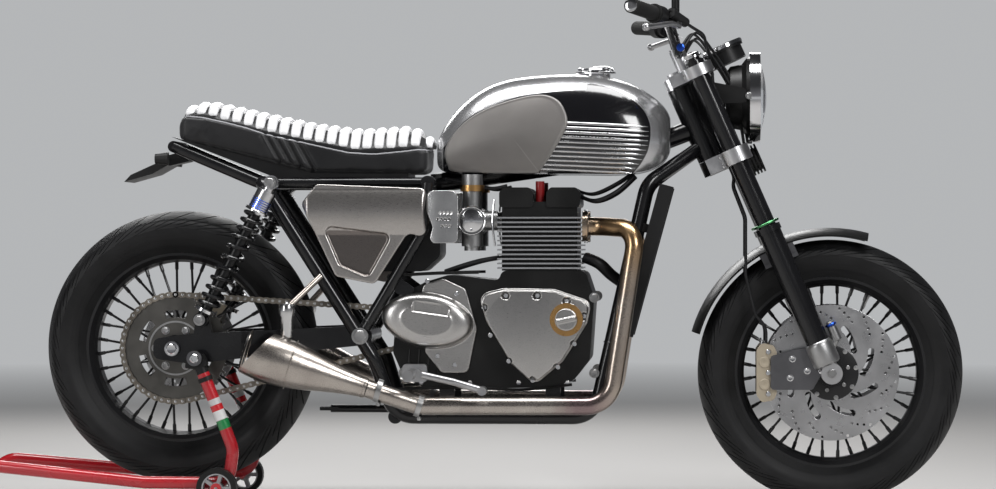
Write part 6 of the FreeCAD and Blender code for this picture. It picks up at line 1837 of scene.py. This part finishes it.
# The pinch bolts: two on the lower yoke and one on the upper, then the pair at each fork foot
pinch_rises = (523.0, 545.0, 742.0)
foot_pinch_rises = (14.0, 30.0)
stem_top = 766.0
collar_rise = 366.0
bar_place = on_fork(797.0, -25.0)
bar_end = (-101, 372, 88)


def make_yoke_hardware():
    """Pinch bolts, fork caps, the stem's nut and the dust seals."""
    bm, seals = bmesh.new(), bmesh.new()
    for side in sides:
        for rise in pinch_rises:
            hex_bolt(bm, on_fork(rise, -30.0, side * fork_side), -steer_forward, 5.0, 6.0)
        top = on_fork(stem_top + 8.0, 0.0, side * fork_side)
        lathe(bm, top, steer_up, fork_cap_steps, 24)
        hoop(seals, on_fork(collar_rise, 0.0, side * fork_side), steer_up, bead_steps(0.0, 28.5, 3.0), 48)
        for rise in foot_pinch_rises:
            hex_bolt(bm, on_fork(rise, -20.0, side * (fork_side + 8.0)), -steer_forward, 4.5, 5.0)
    lathe(bm, on_fork(stem_top - 2.0, 0.0), steer_up, stem_nut_steps, 24)
    make_piece("yoke_hardware", bm, "zinc_steel", "steering", look="polished_alloy")
    make_piece("fork_collars", seals, "alloy", "steering", look="green_anodised")


# Shares of the caliper's height for its bolts and for its piston caps
caliper_bolt_shares = (0.14, 0.5, 0.86)
piston_shares = (0.3, 0.68)
bracket_bolts = ((1395.0, 332.0), (1428.0, 305.0), (1390.0, 289.0))


def make_caliper_hardware():
    """Bolts, bleed nipples and piston caps on the front calipers and their brackets."""
    bm, caps = bmesh.new(), bmesh.new()
    low, high = node_box("front_calipers")
    brackets = node_surface("fork_brackets")
    for side in sides:
        out = across * side
        face = high.y if side > 0 else low.y
        for share in caliper_bolt_shares:
            place = Vector((low.x * 0.42 + high.x * 0.58, face, low.z + (high.z - low.z) * share))
            socket_bolt(bm, place, out, 5.6, 4.0)
        for share in piston_shares:
            place = Vector((low.x * 0.6 + high.x * 0.4, face, low.z + (high.z - low.z) * share))
            lathe(caps, place, out, piston_cap_steps, 32)
        lathe(bm, Vector((low.x + 12 * mm, face - side * 14 * mm, high.z - 3 * mm)), up, bleed_steps, 16)
        for x, z in bracket_bolts:
            hit, _ = lay_near(brackets, at(x, 0, z).x, z * mm, side)
            hex_bolt(bm, hit, out, 5.5, 5.0)
    make_piece("caliper_bolts", bm, "zinc_steel", "steering", look="polished_alloy")
    make_piece("caliper_caps", caps, "caliper_gold", "steering")


def make_bar_details():
    """End caps on the grips and the lid of the fluid cup."""
    caps, cover = bmesh.new(), bmesh.new()
    for side in sides:
        behind, wide, high = bar_end
        outer = bar_place + Vector((behind, side * wide, high)) * mm
        inner = bar_place + Vector((behind * 0.66, side * wide * 0.66, high * 0.9)) * mm
        along = (outer - inner).normalized()
        lathe(caps, outer - along * (1 * mm), along, bar_cap_steps, 32)
    make_piece("bar_caps", caps, "alloy", "steering", look="polished_alloy")
    cup_low, cup_high = node_box("fluid_cup")
    centre = (cup_low + cup_high) / 2
    lid = Vector((centre.x, centre.y, cup_high.z))
    radius = (cup_high.y - cup_low.y) / 2 / mm
    steps = [(-6, radius * 1.02), (0.0, radius * 1.02), (0.0, radius * 0.8), (-0.6, radius * 0.4)]
    lathe(cover, lid, up, steps, 32)
    make_piece("cup_lid", cover, "plastic_black", "steering")


foot_sleeve = [(0, 26.0), (3, 30.0), (8, 31.5), (48, 31.5), (54, 30.0), (57, 27.0)]
knob_foot = (62.0, 42.0)
axle_cap_side = 128.0
damper_knob = [(0, 8.0), (2, 11.0), (34, 11.0), (36, 9.5), (44, 9.5), (46, 7.0)]
cable_stations = ((803.0, -16.0, 150.0), (822.0, 22.0, 112.0), (770.0, 40.0, 76.0), (690.0, 52.0, 58.0),
                  (612.0, 44.0, 42.0), (552.0, 30.0, 30.0))
cable_gap = 9.0


def make_fork_feet():
    """A cast sleeve at the foot of each leg, with an adjuster that has a blue cap."""
    bm, knobs = bmesh.new(), bmesh.new()
    for side in sides:
        lathe(bm, on_fork(20.0, 0.0, side * fork_side), steer_up, foot_sleeve, 48)
        knob = on_fork(*knob_foot, side * fork_side)
        lathe(bm, knob, steer_up, damper_knob, 32)
        hoop(knobs, knob + steer_up * (39 * mm), steer_up, bead_steps(0.0, 10.5, 3.0), 40)
        link_start = on_fork(50.0, 20.0, side * fork_side)
        sweep(bm, [link_start, knob + steer_up * (6 * mm)], 8.0, 16)
        socket_bolt(bm, front_axle + aside(side * axle_cap_side), across * side, 10.0, 5.0)
    make_piece("fork_feet", bm, "alloy", "steering", look="cast_alloy")
    make_piece("fork_adjusters", knobs, "alloy", "steering", look="blue_anodised")


def make_cables():
    """Cables that fall from the bar, ahead of the fork, into the lower yoke."""
    bm = bmesh.new()
    for side in sides:
        for shift in (0.0, cable_gap):
            run = [on_fork(rise, ahead + shift, side * (reach - shift))
                   for rise, ahead, reach in cable_stations]
            sweep(bm, smooth_run(run, 10), 3.0, 10)
    make_piece("control_cables", bm, "hose_rubber", "steering")


yoke_black_half = 75.0
yoke_black_top = 716.0


def yoke_finish():
    """Bright clamps, and a black middle on the lower yoke and its stem."""
    tree, shader = new_material("yoke_alloy", (0.55, 0.55, 0.56))
    rise = along_line(tree, front_axle, steer_up)
    _, y, _ = drawn_place(tree)
    across_fork = math_node(tree, "ABSOLUTE", y)
    middle = remap(tree, across_fork, yoke_black_half - 1.0, yoke_black_half + 1.0, 1.0, 0.0)
    low = remap(tree, rise, yoke_black_top - 1.0, yoke_black_top, 1.0, 0.0)
    black = math_node(tree, "MULTIPLY", middle, low)
    cloud = noise(tree, rest_place(tree), 60.0)
    feed(tree, shader, Base_Color=blend_colour(tree, black, (0.55, 0.55, 0.56), (0.006, 0.006, 0.006)),
         Metallic=blend_value(tree, black, 1.0, 0.0),
         Roughness=uneven(tree, cloud, 0.28, 0.38),
         Normal=grain(tree, 300.0, 0.06, 0.2))


banjo_place = at(1144.0, -176.0, 1028.0)


def make_banjo():
    """A blue union on the brake hose under the master cylinder."""
    bm = bmesh.new()
    lathe(bm, banjo_place, across, banjo_steps, 24)
    make_piece("hose_union", bm, "alloy", "steering", look="blue_anodised")


def dress_front():
    make_lamp()
    make_dial()
    make_yoke_hardware()
    make_caliper_hardware()
    make_bar_details()
    make_banjo()
    make_fork_feet()
    make_cables()


# Frame and stand

pivot_place = at(424.0, 0, 383.0)
bobbin_place = (58.0, 213.5, 334.0)
# The bolts' places, how far out they sit, their radius and their height
chassis_bolts = ((pivot_place, 150.0, 13.0, 9.0), (shock_top, 203.0, 9.0, 7.0),
                 (shock_bottom, 203.0, 9.0, 7.0), (at(950, 0, 300), 119.0, 8.0, 6.0),
                 (at(950, 0, 470), 119.0, 8.0, 6.0), (at(520, 0, 300), 119.0, 8.0, 6.0))


def make_frame_hardware():
    """Bolts and nuts at the pivot, the axles, the shocks and the engine's mounts."""
    bm = bmesh.new()
    for place, out, radius, height in chassis_bolts:
        for side in sides:
            hex_bolt(bm, place + aside(side * out), across * side, radius, height)
    make_piece("frame_bolts", bm, "zinc_steel")
    caps = bmesh.new()
    for side in sides:
        bobbin_x, bobbin_y, bobbin_z = bobbin_place
        socket_bolt(caps, at(bobbin_x, side * bobbin_y, bobbin_z), across * side, 10.0, 4.0)
        hit, _ = lay_near(node_surface("rear_axle"), rear_axle.x, rear_axle.z, side)
        hex_bolt(caps, hit, across * side, 11.0, 8.0)
    make_piece("bobbin_caps", caps, "chrome")


# The tubes' ends, their radius, and how far along from the first end the bead lies
tube_welds = ((at(200, 134, 728), at(455, 134, 330), 15.5, 26.0),
              (at(986, 100, 359), at(1068, 80, 726), 16.4, 8.0),
              (at(434, 134, 400), at(567, 134, 625), 14.0, 18.0))


def make_frame_welds():
    """Weld beads where the tubes meet."""
    bm = bmesh.new()
    for start, end, radius, reach in tube_welds:
        for side in sides:
            along = mirrored(end - start, side).normalized()
            hoop(bm, mirrored(start, side) + along * (reach * mm), along, bead_steps(0.0, radius, 1.6), 40)
    make_piece("frame_welds", bm, "frame_black")


stand_wheels = ("stand_wheel_right", "stand_wheel_left")
stand_arm_side = 190
sleeve_drop = 14
stand_hub_half = 14.5
stand_rim_radius = 33.0


def wheel_hub(name):
    return joint_place[[joint for joint in joint_place if joint.startswith(name)][0]]


def make_stand_details():
    """Sleeves round the stand's arms and its wheels' axle nuts."""
    bm, nuts = bmesh.new(), bmesh.new()
    for side in sides:
        top = stand_arm_origin + aside(side * stand_arm_side)
        hoop(bm, top + stand_arm_line * (sleeve_drop * mm), stand_arm_line, sleeve_steps, 40)
    make_piece("stand_sleeves", bm, "plastic_black")
    for name, side in zip(stand_wheels, sides):
        lathe(nuts, wheel_hub(name) + aside(side * stand_hub_half), across * side, stand_nut_steps, 24)
    make_piece("stand_axle_nuts", nuts, "zinc_steel")


def stand_wheel_finish():
    """A black tyre round a grey rim and spokes."""
    tree, shader = new_material("stand_wheel", (0.01, 0.01, 0.01))
    out = out_from(tree, wheel_hub(stand_wheels[0]), across)
    grey = remap(tree, out, stand_rim_radius - 0.5, stand_rim_radius + 0.5, 1.0, 0.0)
    cloud = noise(tree, rest_place(tree), 40.0)
    feed(tree, shader, Base_Color=blend_colour(tree, grey, (0.010, 0.010, 0.010), (0.34, 0.34, 0.35)),
         Metallic=blend_value(tree, grey, 0.0, 0.3),
         Roughness=uneven(tree, cloud, 0.38, 0.55),
         Normal=grain(tree, 500.0, 0.1, 0.3))


def dress_frame():
    make_frame_hardware()
    make_frame_welds()
    make_stand_details()


# Camera, floor and light

def make_camera():
    """A long lens, level and almost square to the machine's right side."""
    data = bpy.data.cameras.new("camera")
    data.sensor_width = sensor_width
    data.lens = focal_pixels / image_width * sensor_width
    data.clip_end = 200.0
    camera = link(bpy.data.objects.new("camera", data))
    back = Vector((math.sin(camera_azimuth), -math.cos(camera_azimuth), 0))
    camera.location = Vector((aim_x, 0, camera_height)) + back * camera_distance
    camera.rotation_mode = "QUATERNION"
    camera.rotation_quaternion = (-back).to_track_quat("-Z", "Y")
    bpy.context.scene.camera = camera


def make_floor():
    """A wide floor that fades into the backdrop far from the machine."""
    bm = bmesh.new()
    bmesh.ops.create_circle(bm, cap_ends=True, segments=96, radius=floor_radius)
    floor = mesh_object("floor", bm)
    floor.location = (0, 0, cad_box[0].z - 0.5 * mm)
    tree, shader = new_material("floor_paint", floor_colour[:3])
    shader.inputs["Roughness"].default_value = 0.75
    place = add(tree, "NewGeometry").outputs["Position"]
    reach = vector_math(tree, "LENGTH", place, output="Value")
    far = remap(tree, reach, floor_clear_radius, floor_fade_radius)
    glow = add(tree, "Emission", {"Color": backdrop_colour})
    mix = add(tree, "MixShader", links={"Fac": far})
    tree.links.new(shader.outputs[0], mix.inputs[1])
    tree.links.new(glow.outputs[0], mix.inputs[2])
    tree.links.new(mix.outputs[0], tree.nodes["Material Output"].inputs["Surface"])
    put_on(floor, "floor_paint")


def make_world():
    """A plain backdrop for the camera, low ambient light, and a room for shiny surfaces to mirror."""
    world = bpy.data.worlds.new("studio")
    bpy.context.scene.world = world
    world.use_nodes = True
    tree = world.node_tree
    background = tree.nodes["Background"]
    rays = add(tree, "LightPath")
    seen = math_node(tree, "MAXIMUM", rays.outputs["Is Camera Ray"], rays.outputs["Is Transmission Ray"])
    height = add(tree, "SeparateXYZ", links={"Vector": add(tree, "TexCoord").outputs["Generated"]})
    ramp = add(tree, "ValToRGB", links={"Fac": height.outputs["Z"]})
    for element, (position, colour) in zip(ramp.color_ramp.elements, mirrored_room):
        element.position = position
        element.color = colour
    ambient = blend_colour(tree, rays.outputs["Is Glossy Ray"], ambient_colour, ramp.outputs["Color"])
    shown = blend_colour(tree, seen, ambient, backdrop_colour[:3])
    tree.links.new(shown, background.inputs["Color"])


def area_lamp(name, place, target, size, power):
    data = bpy.data.lights.new(name, "AREA")
    data.shape = "RECTANGLE"
    data.size, data.size_y = size
    data.energy = power
    lamp = link(bpy.data.objects.new(name, data))
    lamp.location = place
    lamp.rotation_mode = "QUATERNION"
    lamp.rotation_quaternion = (Vector(target) - Vector(place)).to_track_quat("-Z", "Y")


make_camera()
make_floor()
make_world()
for lamp in lamps:
    area_lamp(*lamp)
bpy.context.scene.view_settings.view_transform = "Standard"
for build_finish in (clear_glass, smoked_plastic, heated_steel, stand_paint, tank_paint, fork_finish,
                     finned_black, shock_finish, knee_pad_finish, side_cover_finish, yoke_finish,
                     stand_wheel_finish):
    build_finish()
finishes["spring_black"] = finishes["frame_black"]
finish_nodes()
dress_wheels()
dress_drive()
dress_tank()
dress_seat()
dress_engine()
dress_exhaust()
dress_front()
dress_frame()
